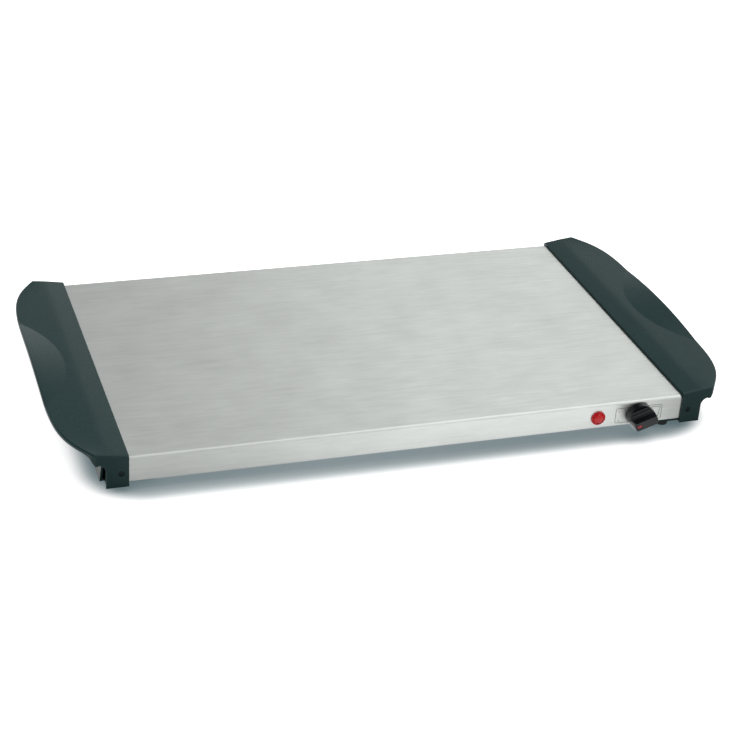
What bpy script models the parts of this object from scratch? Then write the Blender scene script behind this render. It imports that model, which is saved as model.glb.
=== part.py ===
"""Electric food warmer tray: a folded steel tray between two moulded end handles, with its heater,
thermostat, pilot lamp and wiring underneath. Metres, +Z up, front towards -Y, feet on z = 0."""

import math

import bmesh
import bpy
from mathutils import Matrix, Vector

# Tray sheet
TRAY_LENGTH = 0.550
TRAY_DEPTH = 0.354
FLANGE_HEIGHT = 0.0256
SHEET = 0.0008
BEND_RADIUS = 0.0027
LOWER_BEND_RADIUS = 0.0011
LIP_WIDTH = 0.0120
TUCK = 0.0120
CLEARANCE = 0.0003
OVERRUN = 0.0020

# End handles
HANDLE_PROUD = 0.0020
HANDLE_RISE = 0.0028
HANDLE_DROP = 0.0040
SKIN = 0.0024
CORNER_REACH = 0.0328
WING_REACH = 0.0610
CORNER_SWELL = 0.0305
SWELL_POWER = 1.22
STRIP_SLOPE = 0.165
CREASE_REACH = 0.0195
CREASE_SOFTNESS = 0.0030
WING_CLIMB = 0.0015
LIP_HEIGHT = 0.0033
LIP_CORNER_DROP = 0.0087
LIP_FADE = 0.0032
LIP_WALL = 0.0022
EDGE_ROUND = 0.0016
END_ROUND = 0.0028
INNER_EDGE = 0.0006
SCOOP_INNER = 0.0285
SCOOP_RADIUS = 0.1300
SCOOP_SLOPE = 0.140
STATION_LEAST = 0.0015
COLUMN_LEAST = 0.0012
PLATE_FOOT_REACH = 0.0210
COVE_RADIUS = 0.0075
COVE_TOP_DROP = 0.0045
WALL_REACH = 0.0245
WALL = 0.0022
NOTCH_TOP_DROP = 0.0100
NOTCH_TOP_BACK = 0.0030
NOTCH_FOOT_BACK = 0.0090
BASE_WALL = 0.0023
BASE_INBOARD = 0.0270
BASE_SETBACK = 0.0080
BASE_SETBACK_LEFT = 0.0200
BASE_SETBACK_RIGHT = 0.0035
BOSS_INBOARD = 0.0030
BOSS_DEPTH = 0.0100
BOSS_TOP_DROP = 0.0035
BOSS_FOOT_DROP = 0.0215
RIB_WALL = 0.0020
RIB_DROP = 0.0080
RIB_PITCH = 0.0340
RIBS_PER_SIDE = 3
FINGER_SPAN = 0.1500

# Screws
SCREW_RADIUS = 0.0015
SCREW_HEAD_RADIUS = 0.0026
SCREW_HEAD_HEIGHT = 0.0008
SCREW_RECESS_DEPTH = 0.0012
HANDLE_SCREW_REACH = 0.0070
HANDLE_SCREW_DROP = 0.0150
HANDLE_SCREW_LENGTH = 0.0090
COVER_HEAD_HEIGHT = 0.0014
COVER_SCREW_LENGTH = 0.0045
COVER_SCREW_BACK = 0.0070

# Feet
FOOT_RADIUS = 0.0060
FOOT_TOP_RADIUS = 0.0064
FOOT_HEIGHT = 0.0057
FOOT_HOLLOW_RADIUS = 0.0030
FOOT_HOLLOW_DEPTH = 0.0018
FOOT_STEM_RADIUS = 0.0024
FOOT_BULB_RADIUS = 0.0032
FOOT_BULB_HEIGHT = 0.0010
FOOT_INBOARD = 0.0125
FOOT_BACK = 0.0160
FOOT_BACK_LEFT = 0.0300
FOOT_BACK_RIGHT = 0.0120

# Bottom cover
COVER_SHEET = 0.0006
COVER_EDGE_BACK = 0.0015
COVER_OVERLAP = 0.0020
BEAD_WIDTH = 0.0120
BEAD_HEIGHT = 0.0020
BEAD_SIDE = 0.0025
BEAD_PITCH = 0.0900
BEAD_COUNT = 3
VENT_LENGTH = 0.0240
VENT_WIDTH = 0.0035
VENT_PITCH = 0.0400
VENTS_PER_ROW = 5

# Heater, from the tray downwards
SPREADER_WALL = 0.0010
SPREADER_MARGIN = 0.0140
HEATER_CORD_RADIUS = 0.0013
HEATER_PASSES = 10
HEATER_SETBACK = 0.0240
HEATER_TURN_MARGIN = 0.0400
HEATER_TAIL_MARGIN = 0.0090
FOIL_WALL = 0.0005
BLANKET_WALL = 0.0080
BLANKET_MARGIN = 0.0160
BAY_LENGTH = 0.1300
BAY_DEPTH = 0.0440
BAR_WALL = 0.0010
BAR_WIDTH = 0.0160
BAR_INSET = 0.1600
BAR_FOOT = 0.0100
BAR_BEND_RADIUS = 0.0015

# Thermostat and knob
CONTROL_INSET = 0.0460
CONTROL_DROP = 0.0145
KNOB_RADIUS = 0.0130
KNOB_TIP_RADIUS = 0.0123
KNOB_REACH = 0.0210
KNOB_STAND_OFF = 0.0008
KNOB_EDGE = 0.0022
KNOB_SKIRT = 0.0085
KNOB_WALL = 0.0017
KNOB_HOLLOW_DEPTH = 0.0070
HUB_RADIUS = 0.0045
GRIP_HALF_WIDTH = 0.0044
GRIP_SCOOP_RADIUS = 0.0055
KNOB_REST_ANGLE = 199.0
POINTER_WIDTH = 0.0024
POINTER_LENGTH = 0.0046
POINTER_DEPTH = 0.0008
SHAFT_RADIUS = 0.0030
SHAFT_FLAT = 0.0010
SHAFT_IN_KNOB = 0.0110
BUSH_RADIUS = 0.0050
BUSH_REACH = 0.0032
BUSH_FLANGE_RADIUS = 0.0070
BUSH_FLANGE_WALL = 0.0015
NUT_ACROSS = 0.0130
NUT_HEIGHT = 0.0022
FRAME_WALL = 0.0012
FRAME_WIDTH = 0.0280
FRAME_HEIGHT = 0.0180
FRAME_DEPTH = 0.0120
STACK_ASIDE = 0.0100
STACK_RADIUS = 0.0038
STACK_SPACERS = {"stack_spacer_front": 0.0060, "stack_spacer_middle": 0.0050, "stack_spacer_back": 0.0040}
BLADE_WALL = 0.0006
BLADE_WIDTH = 0.0060
SHAFT_CLEAR = 0.0010
BLADE_TAB = 0.0100

# Pilot lamp
LAMP_ASIDE = 0.0430
LENS_RADIUS = 0.0073
LENS_RIM = 0.0012
LENS_RISE = 0.0036
LENS_STEM_RADIUS = 0.0050
LENS_STEM_LENGTH = 0.0050
LENS_FACET_SHARES = ((1.0, 0.0), (0.86, 0.42), (0.55, 0.82), (0.0, 1.0))
HOLDER_WALL = 0.0012
HOLDER_LENGTH = 0.0180
BULB_RADIUS = 0.0022
BULB_LENGTH = 0.0085

# Cord gland and terminals at the back
GLAND_INSET = 0.0500
GLAND_RADIUS = 0.0060
GLAND_BORE = 0.0036
GLAND_RIM_RADIUS = 0.0090
GLAND_RIM = 0.0016
GLAND_LENGTH = 0.0090
CLIP_WALL = 0.0020
CLIP_RADIUS = 0.0085
BLOCK_LENGTH = 0.0340
BLOCK_DEPTH = 0.0130
BLOCK_HEIGHT = 0.0100
BLOCK_INSET = 0.0900
BLOCK_BACK = 0.0260
BLOCK_WELL_RADIUS = 0.0022
BLOCK_WELL_DEPTH = 0.0040
BLOCK_WELLS = 3
BLOCK_PITCH = 0.0105
STUD_INSET = 0.1170
STUD_BACK = 0.0220
STUD_RADIUS = 0.0020
STUD_LENGTH = 0.0090
STUD_NUT_ACROSS = 0.0070
STUD_NUT_HEIGHT = 0.0030
FUSE_RADIUS = 0.0020
FUSE_LENGTH = 0.0140
FUSE_INSET = 0.1250
FUSE_BACK = 0.0740
FUSE_CLIP_WALL = 0.0006
FUSE_CLIP_WIDTH = 0.0070
FUSE_CLIP_EAR = 0.0050
LEAD_RADIUS = 0.0010
LEAD_EASE = 0.0060
LEAD_ASIDE = 0.0070
LEAD_BEHIND = 0.0130
LAMP_LEAD_PITCH = 0.0050

# Faces round each kind of turned piece
FINE_SIDES = 32
MEDIUM_SIDES = 16
SMALL_SIDES = 10
LENS_SIDES = 12
NUT_SIDES = 6
ARC_STEPS = 4
LEAD_STEPS = 2
COVE_STEPS = 6
TURN_STEPS = 5
TUBE_STEPS = 2
RIB_STEPS = 5

# Angles
HALF_TURN = math.pi
QUARTER_TURN = math.pi / 2
FACING_FRONT = QUARTER_TURN
FACING_BACK = -QUARTER_TURN
SMOOTH_ANGLE = 0.6
FACET_ANGLE = 0.2

# Shares of the named sizes above, chosen by hand
SWELL_SHARES = (0.2, 0.36, 0.56, 0.8, 1.1, 1.5, 2.1, 2.8)
END_ROUND_SHARES = (0.0, 0.13, 0.5, 1.0)
END_FILL_SHARE = 0.6
SCOOP_STATION_SHARES = (1.05, 0.98, 0.91, 0.82, 0.7, 0.56, 0.4, 0.22, 0.0)
SCOOP_COLUMN_SHARES = (0.3, 0.65)
CREASE_COLUMN_SHARES = (-1.2, 0.0, 1.2)
EDGE_ARC_SHARES = (0.0, 0.35, 0.7, 1.0)
JOIN_SHARE = 0.25
WELD_SHARE = 0.001
HEAD_CROWN_SHARE = 0.7
HEAD_SIDE_SHARE = 0.33
BULB_SHOULDER_SHARE = 0.7
NUT_LIFT_SHARE = 0.33
TAB_SHARE = 0.33

# Places worked out from the sizes
HALF_LENGTH = TRAY_LENGTH / 2
FOOT_BOTTOM_DROP = FLANGE_HEIGHT + HANDLE_DROP + CLEARANCE + FOOT_HEIGHT
TRAY_TOP_Z = FOOT_BOTTOM_DROP
FRONT_Y = -(TRAY_DEPTH + HANDLE_PROUD - KNOB_REACH) / 2
BACK_Y = FRONT_Y + TRAY_DEPTH
FLANGE_FOOT_Z = TRAY_TOP_Z - FLANGE_HEIGHT
LIP_TOP_Z = FLANGE_FOOT_Z + SHEET
COVER_TOP_Z = FLANGE_FOOT_Z - CLEARANCE
COVER_FOOT_Z = COVER_TOP_Z - COVER_SHEET
INNER_FRONT_Y = FRONT_Y + SHEET + CLEARANCE
INNER_BACK_Y = BACK_Y - SHEET - CLEARANCE
SPREADER_TOP_Z = TRAY_TOP_Z - SHEET - CLEARANCE
SPREADER_FOOT_Z = SPREADER_TOP_Z - SPREADER_WALL
HEATER_CORD_Z = SPREADER_FOOT_Z - CLEARANCE - HEATER_CORD_RADIUS
FOIL_TOP_Z = HEATER_CORD_Z - HEATER_CORD_RADIUS - CLEARANCE
FOIL_FOOT_Z = FOIL_TOP_Z - FOIL_WALL
BLANKET_TOP_Z = FOIL_FOOT_Z - CLEARANCE
BLANKET_FOOT_Z = BLANKET_TOP_Z - BLANKET_WALL
BAR_TOP_Z = BLANKET_FOOT_Z - CLEARANCE
CONTROL_Z = TRAY_TOP_Z - CONTROL_DROP
CONTROL_PLACE = HALF_LENGTH - CONTROL_INSET
LAMP_PLACE = CONTROL_PLACE - LAMP_ASIDE
GLAND_PLACE = HALF_LENGTH - GLAND_INSET
BLOCK_PLACE = HALF_LENGTH - BLOCK_INSET
STUD_PLACE = HALF_LENGTH - STUD_INSET
FUSE_PLACE = HALF_LENGTH - FUSE_INSET
FUSE_Y = BACK_Y - FUSE_BACK
BAR_PLACE = HALF_LENGTH - BAR_INSET
BAY_FROM_X = HALF_LENGTH - BAY_LENGTH
HEATER_RUN_END = HALF_LENGTH - HEATER_TURN_MARGIN
HEATER_TAIL_END = BAY_FROM_X - HEATER_TAIL_MARGIN
HEATER_PITCH = (TRAY_DEPTH - 2 * HEATER_SETBACK) / (HEATER_PASSES - 1)
HANDLE_FOOT = -FLANGE_HEIGHT - HANDLE_DROP
HANDLE_INNER = TUCK + CLEARANCE
WALL_MIDDLE = WALL_REACH - WALL / 2
HOLE_RADIUS = SCREW_RADIUS + CLEARANCE
KNOB_ANGLE = math.radians(KNOB_REST_ANGLE)

# Finishes: linear colour, metallic and roughness
BRUSHED_STEEL = ((0.52, 0.53, 0.51), 1.0, 0.32)
GALVANISED = ((0.42, 0.43, 0.44), 1.0, 0.4)
DARK_STEEL = ((0.012, 0.013, 0.015), 1.0, 0.4)
ALUMINIUM = ((0.72, 0.72, 0.74), 1.0, 0.35)
BRASS = ((0.70, 0.52, 0.22), 1.0, 0.32)
CHARCOAL_PLASTIC = ((0.035, 0.048, 0.050), 0.0, 0.38)
BLACK_PLASTIC = ((0.012, 0.013, 0.015), 0.0, 0.4)
RED_PLASTIC = ((0.55, 0.015, 0.020), 0.0, 0.2)
RUBBER = ((0.010, 0.010, 0.010), 0.0, 0.8)
CERAMIC = ((0.80, 0.78, 0.72), 0.0, 0.5)
GLASS = ((0.90, 0.60, 0.40), 0.0, 0.1)
FIBRE = ((0.78, 0.76, 0.66), 0.0, 0.95)
SILICONE = ((0.75, 0.70, 0.62), 0.0, 0.5)
WHITE_SLEEVE = ((0.70, 0.70, 0.68), 0.0, 0.5)


def clear_scene():
    """Removes what the scene holds before the tray is built."""
    for old in list(bpy.data.objects):
        bpy.data.objects.remove(old, do_unlink=True)


def finish_of(name, finish):
    """A material with one Principled BSDF."""
    colour, metallic, roughness = finish
    material = bpy.data.materials.new(name)
    material.use_nodes = True
    shader = material.node_tree.nodes["Principled BSDF"]
    shader.inputs["Base Color"].default_value = (*colour, 1.0)
    shader.inputs["Metallic"].default_value = metallic
    shader.inputs["Roughness"].default_value = roughness
    return material


def make_object(name, shape, finish, place=(0, 0, 0), smooth_angle=SMOOTH_ANGLE):
    """Turns a bmesh into a named object with its own material, and frees the bmesh."""
    bmesh.ops.recalc_face_normals(shape, faces=shape.faces)
    mesh = bpy.data.meshes.new(name)
    shape.to_mesh(mesh)
    shape.free()
    made = bpy.data.objects.new(name, mesh)
    made.location = place
    bpy.context.scene.collection.objects.link(made)
    if finish is not None:
        mesh.materials.append(finish_of(name, finish))
    mesh.shade_smooth()
    mesh.set_sharp_from_angle(angle=smooth_angle)
    return made


def helper_object(name, shape, place=(0, 0, 0)):
    """An object that only cuts or joins another, and isn't a piece by itself."""
    made = make_object(name, shape, None, place)
    made.hide_render = True
    made.display_type = "WIRE"
    return made


def combine(target, other, operation):
    """Adds a Boolean modifier that cuts or joins the other object."""
    modifier = target.modifiers.new(f"{operation.lower()} {other.name}", "BOOLEAN")
    modifier.operation = operation
    modifier.solver = "EXACT"
    modifier.object = other


def add_box(shape, low, high):
    """A box between two corners."""
    low = Vector(low)
    high = Vector(high)
    size = high - low
    scale = Matrix.Diagonal((*size, 1.0))
    bmesh.ops.create_cube(shape, size=1.0, matrix=Matrix.Translation((low + high) / 2) @ scale)


def add_rod(shape, start, end, radius, sides=SMALL_SIDES):
    """A round rod between two points."""
    start = Vector(start)
    end = Vector(end)
    along = end - start
    turn = Vector((0, 0, 1)).rotation_difference(along).to_matrix().to_4x4()
    bmesh.ops.create_cone(
        shape,
        cap_ends=True,
        segments=sides,
        radius1=radius,
        radius2=radius,
        depth=along.length,
        matrix=Matrix.Translation((start + end) / 2) @ turn,
    )


def add_prism(shape, outline, axis, low, high):
    """A closed outline drawn across one axis and extruded along it."""
    order = {"X": (2, 0, 1), "Y": (0, 2, 1), "Z": (0, 1, 2)}[axis]
    corners = []
    for first, second in outline:
        values = (first, second, low)
        corners.append(shape.verts.new([values[index] for index in order]))
    face = shape.faces.new(corners)
    moved = bmesh.ops.extrude_face_region(shape, geom=[face])["geom"]
    direction = {"X": (1, 0, 0), "Y": (0, 1, 0), "Z": (0, 0, 1)}[axis]
    tops = [item for item in moved if isinstance(item, bmesh.types.BMVert)]
    bmesh.ops.translate(shape, vec=Vector(direction) * (high - low), verts=tops)


def turned_object(name, profile, sides, finish, place, tilt=0.0, smooth_angle=SMOOTH_ANGLE):
    """A piece made by turning a profile of (radius, height) points round +Z, then tilted about X."""
    shape = bmesh.new()
    points = [shape.verts.new((radius, 0, height)) for radius, height in profile]
    edges = [shape.edges.new(pair) for pair in zip(points, points[1:])]
    if profile[0][0] > 0 and profile[-1][0] > 0:
        edges.append(shape.edges.new((points[-1], points[0])))
    bmesh.ops.spin(
        shape,
        geom=edges + points,
        cent=(0, 0, 0),
        axis=(0, 0, 1),
        angle=2 * math.pi,
        steps=sides,
    )
    bmesh.ops.remove_doubles(shape, verts=shape.verts, dist=CLEARANCE * WELD_SHARE)
    bmesh.ops.transform(shape, matrix=Matrix.Rotation(tilt, 4, "X"), verts=shape.verts)
    return make_object(name, shape, finish, place, smooth_angle)


def add_loft(shape, rings):
    """Closed rings with as many points each, bridged in order and capped at both ends."""
    rows = [[shape.verts.new(point) for point in ring] for ring in rings]
    count = len(rows[0])
    for here, there in zip(rows, rows[1:]):
        for index in range(count):
            after = (index + 1) % count
            shape.faces.new((here[index], here[after], there[after], there[index]))
    shape.faces.new(rows[0])
    shape.faces.new(list(reversed(rows[-1])))


def arc(centre, radius, start, end, steps):
    """Points of an arc between two angles."""
    points = []
    for index in range(steps + 1):
        angle = start + (end - start) * index / steps
        points.append((centre[0] + radius * math.cos(angle), centre[1] + radius * math.sin(angle)))
    return points


def rounded_path(corners, radius, radii=None):
    """An open path whose inner corners are arcs of one radius, or each of its own."""
    radii = radii or [radius] * len(corners)
    path = [Vector(corners[0])]
    for before, corner, after, here in zip(corners, corners[1:], corners[2:], radii):
        corner = Vector(corner)
        back = (Vector(before) - corner).normalized()
        ahead = (Vector(after) - corner).normalized()
        half = back.angle(ahead) / 2
        reach = here / math.tan(half)
        centre = corner + (back + ahead).normalized() * here / math.sin(half)
        start = corner + back * reach - centre
        end = corner + ahead * reach - centre
        for index in range(ARC_STEPS + 1):
            point = start.slerp(end, index / ARC_STEPS)
            path.append(centre + point.normalized() * here)
    path.append(Vector(corners[-1]))
    return path


def sheet_outline(path, thickness):
    """The closed outline of a bent sheet whose middle line is the path."""
    one_side = []
    other_side = []
    for index, point in enumerate(path):
        before = path[max(index - 1, 0)]
        after = path[min(index + 1, len(path) - 1)]
        along = (after - before).normalized()
        aside = Vector((-along.y, along.x)) * thickness / 2
        one_side.append(tuple(point + aside))
        other_side.append(tuple(point - aside))
    return one_side + list(reversed(other_side))


def add_tube(name, route, radius, finish):
    """A round tube along a route, as a curve with a bevel and filled ends."""
    curve = bpy.data.curves.new(name, "CURVE")
    curve.dimensions = "3D"
    curve.bevel_depth = radius
    curve.bevel_resolution = TUBE_STEPS
    curve.use_fill_caps = True
    spline = curve.splines.new("POLY")
    spline.points.add(len(route) - 1)
    for point, place in zip(spline.points, route):
        point.co = (*place, 1.0)
    curve.materials.append(finish_of(name, finish))
    made = bpy.data.objects.new(name, curve)
    bpy.context.scene.collection.objects.link(made)
    return made


def eased_route(corners, ease):
    """A route in space whose corners are eased into short curves."""
    route = [Vector(corners[0])]
    for before, corner, after in zip(corners, corners[1:], corners[2:]):
        corner = Vector(corner)
        back = Vector(before) - corner
        ahead = Vector(after) - corner
        reach = min(ease, back.length / 2, ahead.length / 2)
        start = corner + back.normalized() * reach
        end = corner + ahead.normalized() * reach
        for index in range(LEAD_STEPS + 1):
            share = index / LEAD_STEPS
            route.append(start.lerp(corner, share).lerp(corner.lerp(end, share), share))
    route.append(Vector(corners[-1]))
    return route


# Tray sheet and bottom cover


def tray_path():
    """Middle line of the folded tray sheet: wide bends above, tight ones at the lips."""
    front = FRONT_Y + SHEET / 2
    back = BACK_Y - SHEET / 2
    top = TRAY_TOP_Z - SHEET / 2
    foot = FLANGE_FOOT_Z + SHEET / 2
    corners = [
        (FRONT_Y + LIP_WIDTH, foot),
        (front, foot),
        (front, top),
        (back, top),
        (back, foot),
        (BACK_Y - LIP_WIDTH, foot),
    ]
    upper = BEND_RADIUS - SHEET / 2
    lower = LOWER_BEND_RADIUS - SHEET / 2
    return rounded_path(corners, upper, (lower, upper, upper, lower))


def screw_places_in_cover():
    """Where the cover screws stand, as (x, y), two on each clamp bar."""
    return [
        (side * BAR_PLACE, y)
        for side in (-1, 1)
        for y in (FRONT_Y + COVER_SCREW_BACK, BACK_Y - COVER_SCREW_BACK)
    ]


def make_top_tray():
    """The brushed steel tray: top, front and back flanges, and lips turned in below."""
    end = HALF_LENGTH + TUCK
    shape = bmesh.new()
    add_prism(shape, sheet_outline(tray_path(), SHEET), "X", -end, end)
    tray = make_object("top_tray", shape, BRUSHED_STEEL)
    holes = bmesh.new()
    for x, radius in (
        (CONTROL_PLACE, BUSH_RADIUS + CLEARANCE),
        (LAMP_PLACE, LENS_STEM_RADIUS + CLEARANCE),
    ):
        start = (x, FRONT_Y - OVERRUN, CONTROL_Z)
        add_rod(holes, start, (x, FRONT_Y + OVERRUN, CONTROL_Z), radius, MEDIUM_SIDES)
    start = (GLAND_PLACE, BACK_Y - OVERRUN, CONTROL_Z)
    end_point = (GLAND_PLACE, BACK_Y + OVERRUN, CONTROL_Z)
    add_rod(holes, start, end_point, GLAND_RADIUS + CLEARANCE, MEDIUM_SIDES)
    screw_z = TRAY_TOP_Z - HANDLE_SCREW_DROP
    for side in (-1, 1):
        x = side * (HALF_LENGTH + HANDLE_SCREW_REACH)
        for y in (FRONT_Y, BACK_Y):
            add_rod(holes, (x, y - OVERRUN, screw_z), (x, y + OVERRUN, screw_z), HOLE_RADIUS)
    for x, y in screw_places_in_cover():
        start = (x, y, FLANGE_FOOT_Z - OVERRUN)
        add_rod(holes, start, (x, y, FLANGE_FOOT_Z + OVERRUN), HOLE_RADIUS)
    combine(tray, helper_object("top_tray_holes", holes), "DIFFERENCE")


def make_bottom_cover():
    """The thin steel cover below, stiffened by beads, with vent slots between them."""
    middle_y = (FRONT_Y + BACK_Y) / 2
    flat = COVER_TOP_Z - COVER_SHEET / 2
    raised = flat + BEAD_HEIGHT
    corners = [(FRONT_Y + COVER_EDGE_BACK, flat)]
    for index in range(BEAD_COUNT):
        centre = middle_y + (index - (BEAD_COUNT - 1) / 2) * BEAD_PITCH
        corners.append((centre - BEAD_WIDTH / 2, flat))
        corners.append((centre - BEAD_WIDTH / 2 + BEAD_SIDE, raised))
        corners.append((centre + BEAD_WIDTH / 2 - BEAD_SIDE, raised))
        corners.append((centre + BEAD_WIDTH / 2, flat))
    corners.append((BACK_Y - COVER_EDGE_BACK, flat))
    end = HALF_LENGTH - BASE_INBOARD + COVER_OVERLAP
    shape = bmesh.new()
    outline = sheet_outline(rounded_path(corners, BEAD_HEIGHT / 2), COVER_SHEET)
    add_prism(shape, outline, "X", -end, end)
    cover = make_object("bottom_cover", shape, GALVANISED)
    holes = bmesh.new()
    for row in (-1, 1):
        y = middle_y + row * BEAD_PITCH / 2
        for index in range(VENTS_PER_ROW):
            x = (index - (VENTS_PER_ROW - 1) / 2) * VENT_PITCH
            straight = (VENT_LENGTH - VENT_WIDTH) / 2
            outline = arc((x + straight, y), VENT_WIDTH / 2, -QUARTER_TURN, QUARTER_TURN, ARC_STEPS)
            outline += arc(
                (x - straight, y), VENT_WIDTH / 2, QUARTER_TURN, 3 * QUARTER_TURN, ARC_STEPS
            )
            add_prism(holes, outline, "Z", COVER_FOOT_Z - OVERRUN, COVER_TOP_Z + OVERRUN)
    for x, y in screw_places_in_cover():
        start = (x, y, COVER_FOOT_Z - OVERRUN)
        add_rod(holes, start, (x, y, COVER_TOP_Z + OVERRUN), HOLE_RADIUS)
    combine(cover, helper_object("bottom_cover_holes", holes), "DIFFERENCE")


def make_clamp_bars():
    """Two steel bars that hold the heater sandwich up against the tray, seated on its lips."""
    foot_z = LIP_TOP_Z + CLEARANCE + BAR_WALL / 2
    top_z = BAR_TOP_Z - BAR_WALL / 2
    corners = [
        (INNER_FRONT_Y + CLEARANCE, foot_z),
        (FRONT_Y + LIP_WIDTH, foot_z),
        (FRONT_Y + LIP_WIDTH + BAR_FOOT, top_z),
        (BACK_Y - LIP_WIDTH - BAR_FOOT, top_z),
        (BACK_Y - LIP_WIDTH, foot_z),
        (INNER_BACK_Y - CLEARANCE, foot_z),
    ]
    outline = sheet_outline(rounded_path(corners, BAR_BEND_RADIUS), BAR_WALL)
    for side, name in ((-1, "clamp_bar_left"), (1, "clamp_bar_right")):
        middle = side * BAR_PLACE
        shape = bmesh.new()
        add_prism(shape, outline, "X", middle - BAR_WIDTH / 2, middle + BAR_WIDTH / 2)
        bar = make_object(name, shape, GALVANISED)
        holes = bmesh.new()
        for x, y in screw_places_in_cover():
            if x * side > 0:
                start = (x, y, foot_z - OVERRUN)
                add_rod(holes, start, (x, y, foot_z + OVERRUN), HOLE_RADIUS)
        combine(bar, helper_object(f"{name}_holes", holes), "DIFFERENCE")


# End handles, drawn for the right end: u runs outward from the tray's end, v back from the front
# flange and w up from the tray's top


def from_end(v):
    """How far a place lies from the nearer end face of the handle."""
    return min(v, TRAY_DEPTH - v) + HANDLE_PROUD


def end_drop(v):
    """How far the surface has rounded over towards the handle's end face."""
    short = min(max(END_ROUND - from_end(v), 0.0), END_ROUND)
    return END_ROUND - math.sqrt(END_ROUND**2 - short**2)


def wing_reach(v):
    """How far the wing stands out beyond the tray's end."""
    swell = math.exp(-((max(from_end(v), 0.0) / CORNER_SWELL) ** SWELL_POWER))
    return WING_REACH - (WING_REACH - CORNER_REACH) * swell - end_drop(v)


def wing_slope(v):
    """The wing's climb outward from the crease, so that its outer edge runs level."""
    return WING_CLIMB / (wing_reach(v) + end_drop(v) - CREASE_REACH)


def lip_height(v):
    """Height of the turned-down lip: low along the wing, tall where it meets an end plate."""
    return LIP_HEIGHT + LIP_CORNER_DROP * math.exp(-max(from_end(v), 0.0) / LIP_FADE)


def scoop_centre():
    """Where the thumb scoop's arc has its centre, outboard of the handle."""
    return SCOOP_INNER + SCOOP_RADIUS


def scoop_half():
    """Half the scoop's length along the wing's outer edge."""
    return math.sqrt(SCOOP_RADIUS**2 - (scoop_centre() - WING_REACH) ** 2)


def scoop_edge(v):
    """How far out the scoop's crease lies at a place along the handle."""
    aside = abs(v - TRAY_DEPTH / 2)
    if aside >= SCOOP_RADIUS:
        return scoop_centre()
    return scoop_centre() - math.sqrt(SCOOP_RADIUS**2 - aside**2)


def scoop_rise(u, v):
    """The crescent scoop turns up from its crease to the wing's outer edge."""
    inside = SCOOP_RADIUS - math.hypot(u - scoop_centre(), v - TRAY_DEPTH / 2)
    return SCOOP_SLOPE * max(inside, 0.0)


def wing_top(u, v):
    """Height of the handle's upper surface: sloping strip, soft crease, then the flatter wing."""
    past = u - CREASE_REACH
    ramp = (past + math.hypot(past, CREASE_SOFTNESS)) / 2
    bent = (wing_slope(v) - STRIP_SLOPE) * ramp
    return HANDLE_RISE + STRIP_SLOPE * u + bent + scoop_rise(u, v) - end_drop(v)


def beside_tray(v):
    """Whether a place lies in front of the front flange or behind the back one."""
    return from_end(v) < END_ROUND * END_FILL_SHARE


def skin_foot(u, v):
    """Height of the skin's underside: it hangs lower beside the flanges, to join the end plates."""
    fill = END_ROUND if beside_tray(v) else 0.0
    return wing_top(u, v) + end_drop(v) - fill - SKIN


def handle_stations():
    """Places along the handle where its section is drawn: close at the ends and at the scoop."""
    half = TRAY_DEPTH / 2
    end = half + HANDLE_PROUD
    wide = [end - share * CORNER_SWELL for share in SWELL_SHARES]
    wide += [share * scoop_half() for share in SCOOP_STATION_SHARES]
    kept = []
    for aside in sorted(wide, reverse=True):
        if aside >= STATION_LEAST and (not kept or kept[-1] - aside >= STATION_LEAST):
            kept.append(aside)
    kept += [end - share * END_ROUND for share in END_ROUND_SHARES]
    kept.sort(reverse=True)
    return [half - aside for aside in kept] + [half] + [half + aside for aside in reversed(kept)]


def handle_section(v):
    """The handle skin's closed section: top, rounded edge, turned-down lip and underside."""
    reach = wing_reach(v)
    climb_end = reach - EDGE_ROUND
    columns = [CREASE_REACH + share * CREASE_SOFTNESS for share in CREASE_COLUMN_SHARES]
    last = columns[-1]
    crease = min(max(scoop_edge(v), last + 2 * COLUMN_LEAST), climb_end - 3 * COLUMN_LEAST)
    columns += [(last + crease) / 2, crease]
    columns += [crease + (climb_end - crease) * share for share in SCOOP_COLUMN_SHARES]
    strip_feet = [CLEARANCE, CLEARANCE]
    if beside_tray(v):
        strip_feet = [skin_foot(0.0, v), skin_foot(HANDLE_INNER, v)]
    top = [(0.0, strip_feet[0]), (0.0, wing_top(0.0, v) - INNER_EDGE)]
    top += [(u, wing_top(u, v)) for u in [INNER_EDGE] + columns]
    edge_top = wing_top(climb_end, v)
    for share in EDGE_ARC_SHARES:
        angle = QUARTER_TURN * (1 - share)
        aside = climb_end + EDGE_ROUND * math.cos(angle)
        top.append((aside, edge_top - EDGE_ROUND + EDGE_ROUND * math.sin(angle)))
    lip_foot = edge_top + end_drop(v) - lip_height(v)
    lip_in = reach - LIP_WALL
    under = [(reach, lip_foot), (lip_in, lip_foot), (lip_in, skin_foot(lip_in, v))]
    inside_lip = [u for u in reversed(columns[1:-1]) if u < lip_in]
    inside_lip += inside_lip[-1:] * (len(columns) - 2 - len(inside_lip))
    under += [(u, skin_foot(u, v)) for u in inside_lip + [HANDLE_INNER]]
    under += [(HANDLE_INNER, strip_feet[1])]
    return [(u, v, w) for u, w in top + under]


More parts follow.
